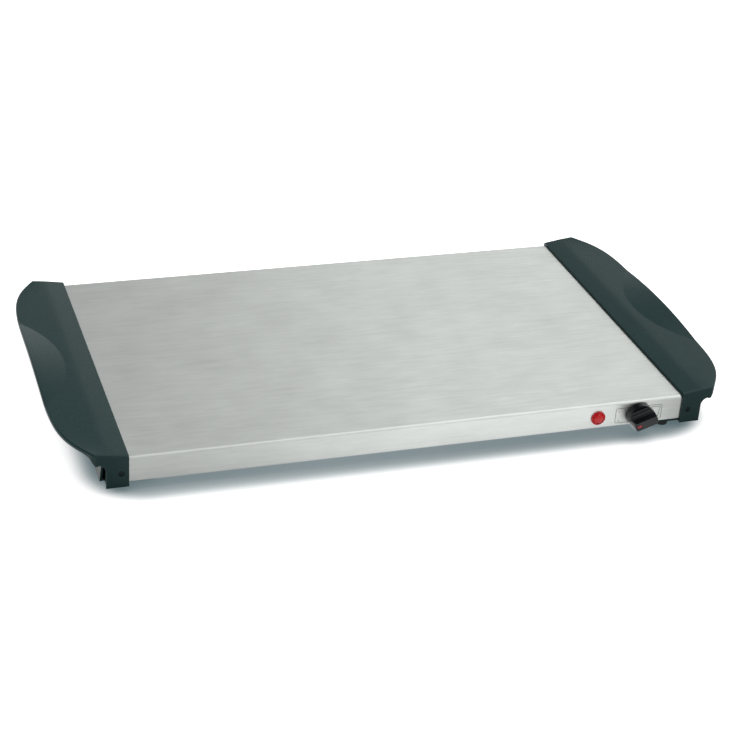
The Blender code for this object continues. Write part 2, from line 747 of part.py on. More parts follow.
def end_plate_outline():
    """Front view of a handle end: square at the tray, with a cove up to the wing's lip."""
    inset = SKIN * JOIN_SHARE
    corner = wing_reach(-HANDLE_PROUD) - inset
    corner_top = wing_top(corner - EDGE_ROUND, -HANDLE_PROUD)
    cove_centre = (PLATE_FOOT_REACH + COVE_RADIUS, -COVE_TOP_DROP - COVE_RADIUS)
    outline = [(0.0, HANDLE_FOOT), (PLATE_FOOT_REACH, HANDLE_FOOT)]
    outline += arc(cove_centre, COVE_RADIUS, HALF_TURN, QUARTER_TURN, COVE_STEPS)
    outline += [(corner, -COVE_TOP_DROP), (corner, corner_top - EDGE_ROUND - inset)]
    outline += [(CREASE_REACH, wing_top(CREASE_REACH, -HANDLE_PROUD) - inset)]
    outline += [(0.0, wing_top(0.0, -HANDLE_PROUD) - inset)]
    return outline


def outer_wall_outline():
    """The outer wall seen from the side, cut back in a notch beside each end plate."""
    top = wing_top(WALL_REACH, TRAY_DEPTH / 2) - SKIN / 2
    front = [
        (NOTCH_TOP_BACK, top),
        (NOTCH_TOP_BACK, -NOTCH_TOP_DROP),
        (NOTCH_FOOT_BACK, HANDLE_FOOT),
    ]
    return front + [(TRAY_DEPTH - v, w) for v, w in reversed(front)]


def base_plate_outline(front_setback):
    """Plan of the base plate: it carries the feet inboard and meets both end plates."""
    ends = []
    for setback in (front_setback, BASE_SETBACK):
        ends.append([
            (-BASE_INBOARD, setback),
            (INNER_EDGE, setback),
            (INNER_EDGE, -CLEARANCE * 2),
            (PLATE_FOOT_REACH - WALL / 2, -CLEARANCE * 2),
            (PLATE_FOOT_REACH - WALL / 2, NOTCH_FOOT_BACK),
            (WALL_MIDDLE, NOTCH_FOOT_BACK + WALL / 2),
        ])
    return ends[0] + [(u, TRAY_DEPTH - v) for u, v in reversed(ends[1])]


def rib_places():
    """Where the ribs under the wing stand, leaving the fingers' span clear."""
    places = []
    for index in range(RIBS_PER_SIDE):
        aside = FINGER_SPAN / 2 + index * RIB_PITCH
        places += [TRAY_DEPTH / 2 - aside, TRAY_DEPTH / 2 + aside]
    return places


def rib_outline(v):
    """Side view of one rib: it fills the corner between the outer wall, the skin and the lip."""
    lip_middle = wing_reach(v) - LIP_WALL / 2
    outline = [(WALL_MIDDLE, -RIB_DROP)]
    outline += [(lip_middle, wing_top(lip_middle, v) - (SKIN + LIP_HEIGHT) / 2)]
    for index in range(RIB_STEPS + 1):
        u = lip_middle + (WALL_MIDDLE - lip_middle) * index / RIB_STEPS
        outline.append((u, wing_top(u, v) - SKIN / 2))
    return outline


def boss_outline(v_from, inward):
    """Plan of the block behind one end of the tray that takes the handle screw."""
    near = v_from + inward * (HANDLE_PROUD + SHEET + CLEARANCE)
    far = near + inward * BOSS_DEPTH
    plate_middle = v_from + inward * HANDLE_PROUD / 2
    return [
        (-BOSS_INBOARD, near),
        (HANDLE_INNER, near),
        (HANDLE_INNER, plate_middle),
        (WALL_MIDDLE, plate_middle),
        (WALL_MIDDLE, far),
        (-BOSS_INBOARD, far),
    ]


def handle_ends():
    """Outer face of each end plate, front then back, and the way inward from it."""
    return ((-HANDLE_PROUD, 1), (TRAY_DEPTH + HANDLE_PROUD, -1))


def handle_additions(front_setback):
    """Solids that are joined to the lofted wing, by name."""
    plates = bmesh.new()
    bosses = bmesh.new()
    for v, inward in handle_ends():
        low, high = sorted((v, v + inward * (HANDLE_PROUD - CLEARANCE)))
        add_prism(plates, end_plate_outline(), "Y", low, high)
        add_prism(bosses, boss_outline(v, inward), "Z", -BOSS_FOOT_DROP, -BOSS_TOP_DROP)
    wall = bmesh.new()
    add_prism(wall, outer_wall_outline(), "X", WALL_REACH - WALL, WALL_REACH)
    base = bmesh.new()
    outline = base_plate_outline(front_setback)
    add_prism(base, outline, "Z", HANDLE_FOOT, HANDLE_FOOT + BASE_WALL)
    ribs = bmesh.new()
    for v in rib_places():
        add_prism(ribs, rib_outline(v), "Y", v - RIB_WALL / 2, v + RIB_WALL / 2)
    return {"plates": plates, "wall": wall, "base": base, "bosses": bosses, "ribs": ribs}


def handle_cuts(front_foot_back):
    """Holes for the screws and the feet, and the recesses for the screw heads, by name."""
    holes = bmesh.new()
    recesses = bmesh.new()
    x = HANDLE_SCREW_REACH
    z = -HANDLE_SCREW_DROP
    for v, inward in handle_ends():
        outside = (x, v - inward * OVERRUN, z)
        hole_end = v + inward * (HANDLE_PROUD + HANDLE_SCREW_LENGTH + CLEARANCE)
        add_rod(holes, outside, (x, hole_end, z), HOLE_RADIUS)
        recess_end = (x, v + inward * SCREW_RECESS_DEPTH, z)
        add_rod(recesses, outside, recess_end, SCREW_HEAD_RADIUS + CLEARANCE, MEDIUM_SIDES)
    foot_holes = bmesh.new()
    for v in (front_foot_back, TRAY_DEPTH - FOOT_BACK):
        start = (-FOOT_INBOARD, v, HANDLE_FOOT - OVERRUN)
        end = (-FOOT_INBOARD, v, HANDLE_FOOT + BASE_WALL + OVERRUN)
        add_rod(foot_holes, start, end, FOOT_STEM_RADIUS + CLEARANCE)
    return {"holes": holes, "recesses": recesses, "foot_holes": foot_holes}


def make_handle(name, side, front_setback, front_foot_back):
    """One end handle: lofted wing, end plates, outer wall, base plate, bosses and ribs."""
    place = (side * HALF_LENGTH, FRONT_Y, TRAY_TOP_Z)
    mirror = Matrix.Diagonal((side, 1.0, 1.0, 1.0))
    skin = bmesh.new()
    add_loft(skin, [handle_section(v) for v in handle_stations()])
    bmesh.ops.remove_doubles(skin, verts=skin.verts, dist=CLEARANCE * WELD_SHARE)
    bmesh.ops.transform(skin, matrix=mirror, verts=skin.verts)
    handle = make_object(name, skin, CHARCOAL_PLASTIC, place)
    steps = (("UNION", handle_additions(front_setback)), ("DIFFERENCE", handle_cuts(front_foot_back)))
    for operation, shapes in steps:
        for label, shape in shapes.items():
            bmesh.ops.transform(shape, matrix=mirror, verts=shape.verts)
            combine(handle, helper_object(f"{name}_{label}", shape, place), operation)


# Screws and feet


def screw_profile(head_radius, head_height, radius, length):
    """A pan-head screw: the head stands below zero height, the shank above."""
    return [
        (0.0, -head_height),
        (head_radius * HEAD_CROWN_SHARE, -head_height),
        (head_radius, -head_height * HEAD_SIDE_SHARE),
        (head_radius, 0.0),
        (radius, 0.0),
        (radius, length - radius / 2),
        (radius / 2, length),
        (0.0, length),
    ]


def make_handle_screws():
    """Four screws that hold the handles through the flanges."""
    seat = HANDLE_PROUD - SCREW_RECESS_DEPTH + CLEARANCE
    length = seat + HANDLE_SCREW_LENGTH
    profile = screw_profile(SCREW_HEAD_RADIUS, SCREW_HEAD_HEIGHT, SCREW_RADIUS, length)
    for side, side_name in ((-1, "left"), (1, "right")):
        for y, tilt, end_name in (
            (FRONT_Y - seat, FACING_BACK, "front"),
            (BACK_Y + seat, FACING_FRONT, "back"),
        ):
            x = side * (HALF_LENGTH + HANDLE_SCREW_REACH)
            place = (x, y, TRAY_TOP_Z - HANDLE_SCREW_DROP)
            name = f"handle_screw_{end_name}_{side_name}"
            turned_object(name, profile, SMALL_SIDES, DARK_STEEL, place, tilt)


def make_cover_screws():
    """Four screws that hold the cover and the clamp bars to the tray's lips."""
    seat = COVER_FOOT_Z - CLEARANCE
    profile = screw_profile(SCREW_HEAD_RADIUS, COVER_HEAD_HEIGHT, SCREW_RADIUS, COVER_SCREW_LENGTH)
    names = ("front_left", "back_left", "front_right", "back_right")
    for name, (x, y) in zip(names, screw_places_in_cover()):
        turned_object(f"cover_screw_{name}", profile, SMALL_SIDES, GALVANISED, (x, y, seat))


def make_feet():
    """Four push-in rubber feet on the handles' base plates."""
    stem = FOOT_HEIGHT + CLEARANCE + BASE_WALL + CLEARANCE
    profile = [
        (0.0, FOOT_HOLLOW_DEPTH),
        (FOOT_HOLLOW_RADIUS, FOOT_HOLLOW_DEPTH),
        (FOOT_HOLLOW_RADIUS, 0.0),
        (FOOT_RADIUS, 0.0),
        (FOOT_TOP_RADIUS, FOOT_HEIGHT),
        (FOOT_STEM_RADIUS, FOOT_HEIGHT),
        (FOOT_STEM_RADIUS, stem),
        (FOOT_BULB_RADIUS, stem),
        (FOOT_STEM_RADIUS, stem + FOOT_BULB_HEIGHT),
        (0.0, stem + FOOT_BULB_HEIGHT),
    ]
    for side, side_name, back in ((-1, "left", FOOT_BACK_LEFT), (1, "right", FOOT_BACK_RIGHT)):
        for y, end_name in ((FRONT_Y + back, "front"), (BACK_Y - FOOT_BACK, "back")):
            x = side * (HALF_LENGTH - FOOT_INBOARD)
            name = f"foot_{end_name}_{side_name}"
            turned_object(name, profile, MEDIUM_SIDES, RUBBER, (x, y, 0))


# Heater sandwich


def bayed_outline(margin):
    """Plan of a layer under the tray, with the control bay cut out of its front right corner."""
    left = -HALF_LENGTH + margin
    right = HALF_LENGTH - margin
    front = FRONT_Y + margin
    back = BACK_Y - margin
    bay = FRONT_Y + BAY_DEPTH
    return [
        (left, front),
        (BAY_FROM_X, front),
        (BAY_FROM_X, bay),
        (right, bay),
        (right, back),
        (left, back),
    ]


def heater_route():
    """Middle line of the heating cord: long passes joined by half turns."""
    route = []
    turn = HEATER_PITCH / 2
    for index in range(HEATER_PASSES):
        y = FRONT_Y + HEATER_SETBACK + index * HEATER_PITCH
        heading = -1 if index % 2 == 0 else 1
        start = HEATER_TAIL_END if index == 0 else -heading * HEATER_RUN_END
        route.append((start, y, HEATER_CORD_Z))
        if index == HEATER_PASSES - 1:
            route.append((HEATER_TAIL_END, y, HEATER_CORD_Z))
            break
        centre = (heading * HEATER_RUN_END, y + turn)
        for point in arc(centre, turn, -QUARTER_TURN, QUARTER_TURN, TURN_STEPS)[:-1]:
            x = centre[0] + heading * (point[0] - centre[0])
            route.append((x, point[1], HEATER_CORD_Z))
    return route


def make_heater():
    """Spreader plate, heating cord, backing foil and insulation blanket."""
    margin = SPREADER_MARGIN
    shape = bmesh.new()
    low = (-HALF_LENGTH + margin, FRONT_Y + margin, SPREADER_FOOT_Z)
    add_box(shape, low, (HALF_LENGTH - margin, BACK_Y - margin, SPREADER_TOP_Z))
    make_object("heat_spreader", shape, ALUMINIUM)
    add_tube("heating_cord", heater_route(), HEATER_CORD_RADIUS, SILICONE)
    shape = bmesh.new()
    add_prism(shape, bayed_outline(BLANKET_MARGIN), "Z", FOIL_FOOT_Z, FOIL_TOP_Z)
    make_object("heater_foil", shape, ALUMINIUM)
    shape = bmesh.new()
    add_prism(shape, bayed_outline(BLANKET_MARGIN), "Z", BLANKET_FOOT_Z, BLANKET_TOP_Z)
    make_object("insulation_blanket", shape, FIBRE)


# Thermostat and knob


def knob_profile():
    """The knob before its grip is cut: a slightly tapered barrel, hollow behind, round a hub."""
    skirt_in = KNOB_RADIUS - KNOB_WALL
    hub_back = BUSH_REACH + CLEARANCE * 2
    bore = SHAFT_RADIUS + CLEARANCE
    bore_end = BUSH_REACH + SHAFT_IN_KNOB + CLEARANCE
    profile = [
        (0.0, bore_end),
        (bore, bore_end),
        (bore, hub_back),
        (HUB_RADIUS, hub_back),
        (HUB_RADIUS, KNOB_HOLLOW_DEPTH),
        (skirt_in, KNOB_HOLLOW_DEPTH),
        (skirt_in, KNOB_STAND_OFF),
        (KNOB_RADIUS, KNOB_STAND_OFF),
        (KNOB_RADIUS, KNOB_SKIRT),
    ]
    edge_centre = (KNOB_TIP_RADIUS - KNOB_EDGE, KNOB_REACH - KNOB_EDGE)
    profile += arc(edge_centre, KNOB_EDGE, 0.0, QUARTER_TURN, ARC_STEPS)
    return profile + [(0.0, KNOB_REACH)]


def grip_scoop_outline(side):
    """End view of the space cut beside the grip: a straight flank running out in a cove."""
    cove_centre = (GRIP_HALF_WIDTH + GRIP_SCOOP_RADIUS, KNOB_SKIRT + GRIP_SCOOP_RADIUS)
    far = KNOB_RADIUS + OVERRUN
    above = KNOB_REACH + OVERRUN
    outline = [(far, above), (GRIP_HALF_WIDTH, above)]
    outline += arc(cove_centre, GRIP_SCOOP_RADIUS, HALF_TURN, 3 * QUARTER_TURN, COVE_STEPS)
    outline += [(far, KNOB_SKIRT)]
    return [(side * across, height) for across, height in outline]


def stack_front():
    """How far behind the flange's face the stack of spacers and blades begins."""
    bush_end = SHEET + CLEARANCE + BUSH_FLANGE_WALL
    return bush_end + CLEARANCE + FRAME_WALL + CLEARANCE


def blade_places():
    """Where the middle of each blade lies, front to back, as y."""
    places = []
    at = FRONT_Y + stack_front()
    for length in list(STACK_SPACERS.values())[:-1]:
        at += length + CLEARANCE + BLADE_WALL + CLEARANCE
        places.append(at - CLEARANCE - BLADE_WALL / 2)
    return places


def make_knob(turning):
    """The control knob, its red pointer and the shaft it sits on, turning together."""
    axis_place = (CONTROL_PLACE, FRONT_Y, CONTROL_Z)
    aim = Matrix.Rotation(-KNOB_ANGLE, 4, "Y")
    knob = turned_object(
        "control_knob", knob_profile(), FINE_SIDES, BLACK_PLASTIC, axis_place, FACING_FRONT
    )
    scoops = bmesh.new()
    for side in (-1, 1):
        add_prism(scoops, grip_scoop_outline(side), "X", -2 * KNOB_RADIUS, 2 * KNOB_RADIUS)
    swap = Matrix(((1, 0, 0, 0), (0, 0, -1, 0), (0, 1, 0, 0), (0, 0, 0, 1)))
    bmesh.ops.transform(scoops, matrix=aim @ swap, verts=scoops.verts)
    combine(knob, helper_object("control_knob_scoops", scoops, axis_place), "DIFFERENCE")

    tip = KNOB_TIP_RADIUS - KNOB_EDGE
    half = POINTER_WIDTH / 2
    front = -KNOB_REACH

    def pointer_box(grown, front_y, back_y):
        made = bmesh.new()
        low = (tip - POINTER_LENGTH - grown, front_y, -half - grown)
        add_box(made, low, (tip + grown, back_y, half + grown))
        bmesh.ops.transform(made, matrix=aim, verts=made.verts)
        return made

    well = pointer_box(CLEARANCE, front - OVERRUN, front + POINTER_DEPTH + CLEARANCE)
    combine(knob, helper_object("control_knob_well", well, axis_place), "DIFFERENCE")
    inlay = pointer_box(0.0, front, front + POINTER_DEPTH)
    pointer = make_object("knob_pointer", inlay, RED_PLASTIC, axis_place)

    shape = bmesh.new()
    shaft_front = BUSH_REACH + SHAFT_IN_KNOB
    shaft_back = blade_places()[-1] - BLADE_WALL / 2 - CLEARANCE - FRONT_Y
    add_rod(shape, (0, -shaft_front, 0), (0, shaft_back, 0), SHAFT_RADIUS, MEDIUM_SIDES)
    shaft = make_object("thermostat_shaft", shape, BRASS, axis_place)
    flat = bmesh.new()
    low = (-SHAFT_RADIUS, -shaft_front - OVERRUN, SHAFT_RADIUS - SHAFT_FLAT)
    high = (SHAFT_RADIUS, -BUSH_REACH - CLEARANCE, SHAFT_RADIUS + OVERRUN)
    add_box(flat, low, high)
    bmesh.ops.transform(flat, matrix=aim, verts=flat.verts)
    combine(shaft, helper_object("thermostat_shaft_flat", flat, axis_place), "DIFFERENCE")
    for piece in (knob, pointer, shaft):
        piece.parent = turning
        piece.matrix_parent_inverse = turning.matrix_world.inverted()


def make_thermostat():
    """The thermostat behind the front flange: bush, nut, frame, and the stack of blades."""
    place = (CONTROL_PLACE, FRONT_Y, CONTROL_Z)
    back_of_flange = SHEET + CLEARANCE
    flange_end = back_of_flange + BUSH_FLANGE_WALL
    bore = SHAFT_RADIUS + CLEARANCE
    profile = [
        (bore, -flange_end),
        (BUSH_FLANGE_RADIUS, -flange_end),
        (BUSH_FLANGE_RADIUS, -back_of_flange),
        (BUSH_RADIUS, -back_of_flange),
        (BUSH_RADIUS, BUSH_REACH),
        (bore, BUSH_REACH),
    ]
    turned_object("thermostat_bush", profile, MEDIUM_SIDES, BRASS, place, FACING_FRONT)

    nut = bmesh.new()
    start = (0, -CLEARANCE, 0)
    nut_radius = NUT_ACROSS / 2 / math.cos(math.pi / NUT_SIDES)
    add_rod(nut, start, (0, -CLEARANCE - NUT_HEIGHT, 0), nut_radius, NUT_SIDES)
    nut_object = make_object("thermostat_nut", nut, GALVANISED, place)
    hole = bmesh.new()
    start = (0, OVERRUN, 0)
    end = (0, -NUT_HEIGHT - OVERRUN, 0)
    add_rod(hole, start, end, BUSH_RADIUS + CLEARANCE, MEDIUM_SIDES)
    combine(nut_object, helper_object("thermostat_nut_hole", hole, place), "DIFFERENCE")

    front = flange_end + CLEARANCE
    half_width = FRAME_WIDTH / 2
    middle = -STACK_ASIDE / 2
    corners = [
        (middle + half_width, front + FRAME_DEPTH),
        (middle + half_width, front + FRAME_WALL / 2),
        (middle - half_width, front + FRAME_WALL / 2),
    ]
    outline = sheet_outline(rounded_path(corners, FRAME_WALL), FRAME_WALL)
    shape = bmesh.new()
    add_prism(shape, outline, "Z", -FRAME_HEIGHT / 2, FRAME_HEIGHT / 2)
    frame = make_object("thermostat_frame", shape, GALVANISED, place)
    hole = bmesh.new()
    start = (0, front - OVERRUN, 0)
    end = (0, front + FRAME_WALL + OVERRUN, 0)
    add_rod(hole, start, end, bore, MEDIUM_SIDES)
    combine(frame, helper_object("thermostat_frame_hole", hole, place), "DIFFERENCE")

    at = front + FRAME_WALL + CLEARANCE
    for name, length in STACK_SPACERS.items():
        shape = bmesh.new()
        start = (-STACK_ASIDE, at, 0)
        add_rod(shape, start, (-STACK_ASIDE, at + length, 0), STACK_RADIUS, MEDIUM_SIDES)
        make_object(name, shape, CERAMIC, place)
        at += length + BLADE_WALL + 2 * CLEARANCE

    tab_end = -STACK_ASIDE - STACK_RADIUS - BLADE_TAB
    beside_shaft = -SHAFT_RADIUS - SHAFT_CLEAR
    tips = {"fixed_contact_blade": beside_shaft, "bimetal_blade": SHAFT_RADIUS}
    for (name, tip), middle_y in zip(tips.items(), blade_places()):
        shape = bmesh.new()
        near = middle_y - FRONT_Y - BLADE_WALL / 2
        low = (tab_end, near, -BLADE_WIDTH / 2)
        add_box(shape, low, (tip, near + BLADE_WALL, BLADE_WIDTH / 2))
        make_object(name, shape, BRASS, place)


# Pilot lamp


def make_pilot_lamp():
    """The red lens in the front flange, its holder behind and the small bulb inside."""
    place = (LAMP_PLACE, FRONT_Y, CONTROL_Z)
    rim_top = CLEARANCE + LENS_RIM
    profile = [
        (0.0, -LENS_STEM_LENGTH),
        (LENS_STEM_RADIUS, -LENS_STEM_LENGTH),
        (LENS_STEM_RADIUS, CLEARANCE),
        (LENS_RADIUS, CLEARANCE),
        (LENS_RADIUS, rim_top),
    ]
    dome = LENS_RADIUS - LENS_RIM / 2
    profile += [
        (dome * across, rim_top + (LENS_RISE - LENS_RIM) * up) for across, up in LENS_FACET_SHARES
    ]
    turned_object(
        "pilot_lamp_lens", profile, LENS_SIDES, RED_PLASTIC, place, FACING_FRONT, FACET_ANGLE
    )

    back_of_flange = SHEET + CLEARANCE
    inner = LENS_STEM_RADIUS + CLEARANCE
    outer = inner + HOLDER_WALL
    profile = [
        (0.0, -HOLDER_LENGTH),
        (outer, -HOLDER_LENGTH),
        (outer, -back_of_flange),
        (inner, -back_of_flange),
        (inner, -HOLDER_LENGTH + HOLDER_WALL),
        (0.0, -HOLDER_LENGTH + HOLDER_WALL),
    ]
    turned_object("pilot_lamp_holder", profile, MEDIUM_SIDES, BLACK_PLASTIC, place, FACING_FRONT)

    bulb_back = HOLDER_LENGTH - HOLDER_WALL - CLEARANCE
    bulb_tip = BULB_LENGTH - bulb_back
    shoulder = BULB_RADIUS * BULB_SHOULDER_SHARE
    profile = [
        (0.0, -bulb_back),
        (BULB_RADIUS, -bulb_back),
        (BULB_RADIUS, bulb_tip - BULB_RADIUS),
        (shoulder, bulb_tip - BULB_RADIUS + shoulder),
        (0.0, bulb_tip),
    ]
    turned_object("pilot_lamp_bulb", profile, SMALL_SIDES, GLASS, place, FACING_FRONT)


# Cord gland, terminals and wiring


def make_cord_gland():
    """The gland in the back flange, which holds no cord here, and the clip behind it."""
    place = (GLAND_PLACE, BACK_Y, CONTROL_Z)
    profile = [
        (GLAND_BORE, -GLAND_LENGTH),
        (GLAND_RADIUS, -GLAND_LENGTH),
        (GLAND_RADIUS, CLEARANCE),
        (GLAND_RIM_RADIUS, CLEARANCE),
        (GLAND_RIM_RADIUS - GLAND_RIM / 2, CLEARANCE + GLAND_RIM),
        (GLAND_BORE, CLEARANCE + GLAND_RIM),
    ]
    turned_object("cord_gland", profile, MEDIUM_SIDES, BLACK_PLASTIC, place, FACING_BACK)
    near = -SHEET - CLEARANCE
    bore = GLAND_RADIUS + CLEARANCE
    profile = [
        (bore, near - CLIP_WALL),
        (CLIP_RADIUS, near - CLIP_WALL),
        (CLIP_RADIUS, near),
        (bore, near),
    ]
    turned_object("gland_clip", profile, MEDIUM_SIDES, GALVANISED, place, FACING_BACK)


def block_well_places():
    """Middle of each terminal well along the block."""
    return [
        BLOCK_PLACE + (index - (BLOCK_WELLS - 1) / 2) * BLOCK_PITCH for index in range(BLOCK_WELLS)
    ]


def lead_level():
    """Height at which the leads leave the terminal block's wells."""
    return COVER_TOP_Z + CLEARANCE + BLOCK_HEIGHT / 2


def make_terminals():
    """The ceramic terminal block, and the earth stud and nut on the cover."""
    foot = COVER_TOP_Z + CLEARANCE
    y = BACK_Y - BLOCK_BACK
    shape = bmesh.new()
    low = (BLOCK_PLACE - BLOCK_LENGTH / 2, y - BLOCK_DEPTH / 2, foot)
    high = (BLOCK_PLACE + BLOCK_LENGTH / 2, y + BLOCK_DEPTH / 2, foot + BLOCK_HEIGHT)
    add_box(shape, low, high)
    block = make_object("terminal_block", shape, CERAMIC)
    wells = bmesh.new()
    face = y - BLOCK_DEPTH / 2
    for x in block_well_places():
        start = (x, face - OVERRUN, lead_level())
        add_rod(wells, start, (x, face + BLOCK_WELL_DEPTH, lead_level()), BLOCK_WELL_RADIUS)
    combine(block, helper_object("terminal_block_wells", wells), "DIFFERENCE")

    stud_y = BACK_Y - STUD_BACK
    shape = bmesh.new()
    start = (STUD_PLACE, stud_y, foot)
    add_rod(shape, start, (STUD_PLACE, stud_y, foot + STUD_LENGTH), STUD_RADIUS)
    make_object("earth_stud", shape, BRASS)
    nut = bmesh.new()
    nut_foot = foot + STUD_LENGTH * NUT_LIFT_SHARE
    radius = STUD_NUT_ACROSS / 2 / math.cos(math.pi / NUT_SIDES)
    start = (STUD_PLACE, stud_y, nut_foot)
    end = (STUD_PLACE, stud_y, nut_foot + STUD_NUT_HEIGHT)
    add_rod(nut, start, end, radius, NUT_SIDES)
    nut_object = make_object("earth_nut", nut, GALVANISED)
    hole = bmesh.new()
    start = (STUD_PLACE, stud_y, nut_foot - OVERRUN)
    end = (STUD_PLACE, stud_y, nut_foot + STUD_NUT_HEIGHT + OVERRUN)
    add_rod(hole, start, end, STUD_RADIUS + CLEARANCE)
    combine(nut_object, helper_object("earth_nut_hole", hole), "DIFFERENCE")


def fuse_level():
    """Height of the fuse's middle line, just under the blanket."""
    return BLANKET_FOOT_Z - CLEARANCE - FUSE_RADIUS


def make_thermal_fuse():
    """The one-shot fuse under the blanket, and the strap that holds it."""
    y = FUSE_Y
    z = fuse_level()
    shape = bmesh.new()
    start = (FUSE_PLACE - FUSE_LENGTH / 2, y, z)
    add_rod(shape, start, (FUSE_PLACE + FUSE_LENGTH / 2, y, z), FUSE_RADIUS)
    make_object("thermal_fuse", shape, WHITE_SLEEVE)
    aside = FUSE_RADIUS + CLEARANCE + FUSE_CLIP_WALL / 2
    top = BLANKET_FOOT_Z - CLEARANCE - FUSE_CLIP_WALL / 2
    corners = [
        (y - aside - FUSE_CLIP_EAR, top),
        (y - aside, top),
        (y - aside, z - aside),
        (y + aside, z - aside),
        (y + aside, top),
        (y + aside + FUSE_CLIP_EAR, top),
    ]
    outline = sheet_outline(rounded_path(corners, FUSE_CLIP_WALL), FUSE_CLIP_WALL)
    shape = bmesh.new()
    low = FUSE_PLACE - FUSE_CLIP_WIDTH / 2
    add_prism(shape, outline, "X", low, low + FUSE_CLIP_WIDTH)
    make_object("fuse_clip", shape, GALVANISED)


def make_leads():
    """The insulated leads between the block, the thermostat, the heater, the fuse and the lamp."""
    level = lead_level()
    well_y = BACK_Y - BLOCK_BACK - BLOCK_DEPTH / 2 + BLOCK_WELL_DEPTH - CLEARANCE
    first_well, second_well, third_well = block_well_places()
    first_blade, second_blade = blade_places()
    tab_x = CONTROL_PLACE - STACK_ASIDE - STACK_RADIUS - BLADE_TAB - CLEARANCE
    lamp_y = FRONT_Y + HOLDER_LENGTH + CLEARANCE
    cord_x = HEATER_TAIL_END + CLEARANCE
    cord_front = FRONT_Y + HEATER_SETBACK
    cord_back = cord_front + (HEATER_PASSES - 1) * HEATER_PITCH
    behind = BACK_Y - BLANKET_MARGIN + LEAD_ASIDE - LEAD_RADIUS
    fuse_left = FUSE_PLACE - FUSE_LENGTH / 2 - CLEARANCE
    fuse_right = FUSE_PLACE + FUSE_LENGTH / 2 + CLEARANCE
    turn_y = first_blade + LEAD_BEHIND
    routes = {
        "live_lead": [
            (third_well, well_y, level),
            (third_well, turn_y + LEAD_BEHIND, level),
            (tab_x - LEAD_ASIDE, turn_y, level),
            (tab_x - LEAD_ASIDE, first_blade, level),
            (tab_x - LEAD_ASIDE, first_blade, CONTROL_Z),
            (tab_x, first_blade, CONTROL_Z),
        ],
        "heater_lead": [
            (tab_x, second_blade, CONTROL_Z),
            (tab_x - LEAD_ASIDE / 2, second_blade, CONTROL_Z),
            (tab_x - LEAD_ASIDE / 2, second_blade, HEATER_CORD_Z),
            (tab_x - 2 * LEAD_ASIDE, cord_front, HEATER_CORD_Z),
            (cord_x, cord_front, HEATER_CORD_Z),
        ],
        "return_lead": [
            (cord_x, cord_back, HEATER_CORD_Z),
            (cord_x + LEAD_BEHIND / 2, cord_back, HEATER_CORD_Z),
            (cord_x + LEAD_BEHIND / 2, behind, HEATER_CORD_Z),
            (cord_x + LEAD_BEHIND / 2, behind, fuse_level()),
            (fuse_left - LEAD_ASIDE, behind - LEAD_BEHIND, fuse_level()),
            (fuse_left - LEAD_ASIDE, FUSE_Y, fuse_level()),
            (fuse_left, FUSE_Y, fuse_level()),
        ],
        "fuse_lead": [
            (fuse_right, FUSE_Y, fuse_level()),
            (fuse_right + LEAD_ASIDE, FUSE_Y, fuse_level()),
            (first_well, FUSE_Y + LEAD_BEHIND, level),
            (first_well, well_y, level),
        ],
        "lamp_lead_long": [
            (LAMP_PLACE - LAMP_LEAD_PITCH / 2, lamp_y, CONTROL_Z),
            (LAMP_PLACE - LAMP_LEAD_PITCH / 2, lamp_y + LEAD_ASIDE, CONTROL_Z),
            (second_well, lamp_y + LEAD_ASIDE + LEAD_BEHIND, level),
            (second_well, well_y, level),
        ],
        "lamp_lead_short": [
            (LAMP_PLACE + LAMP_LEAD_PITCH / 2, lamp_y, CONTROL_Z),
            (LAMP_PLACE + LAMP_LEAD_PITCH / 2, lamp_y + LEAD_ASIDE, CONTROL_Z),
            (tab_x + BLADE_TAB * TAB_SHARE, lamp_y + LEAD_ASIDE, CONTROL_Z),
            (tab_x + BLADE_TAB * TAB_SHARE, second_blade + BLADE_WALL / 2 + CLEARANCE, CONTROL_Z),
        ],
    }
    for name, corners in routes.items():
        route = eased_route(corners, LEAD_EASE)
        add_tube(name, route, LEAD_RADIUS, WHITE_SLEEVE)


def main():
    """Builds the whole tray."""
    clear_scene()
    turning = bpy.data.objects.new("knob_axis", None)
    turning.location = (CONTROL_PLACE, FRONT_Y, CONTROL_Z)
    bpy.context.scene.collection.objects.link(turning)
    bpy.context.view_layer.update()
    make_top_tray()
    make_bottom_cover()
    make_clamp_bars()
    make_handle("left_end_handle", -1, BASE_SETBACK_LEFT, FOOT_BACK_LEFT)
    make_handle("right_end_handle", 1, BASE_SETBACK_RIGHT, FOOT_BACK_RIGHT)
    make_handle_screws()
    make_cover_screws()
    make_feet()
    make_heater()
    make_knob(turning)
    make_thermostat()
    make_pilot_lamp()
    make_cord_gland()
    make_terminals()
    make_thermal_fuse()
    make_leads()


main()
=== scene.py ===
"""Looks of an electric food warmer tray: finer visible pieces, materials, light and camera.
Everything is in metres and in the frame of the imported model: +Z up, front towards -Y."""

import math

import bmesh
import bpy
from mathutils import Matrix, Vector


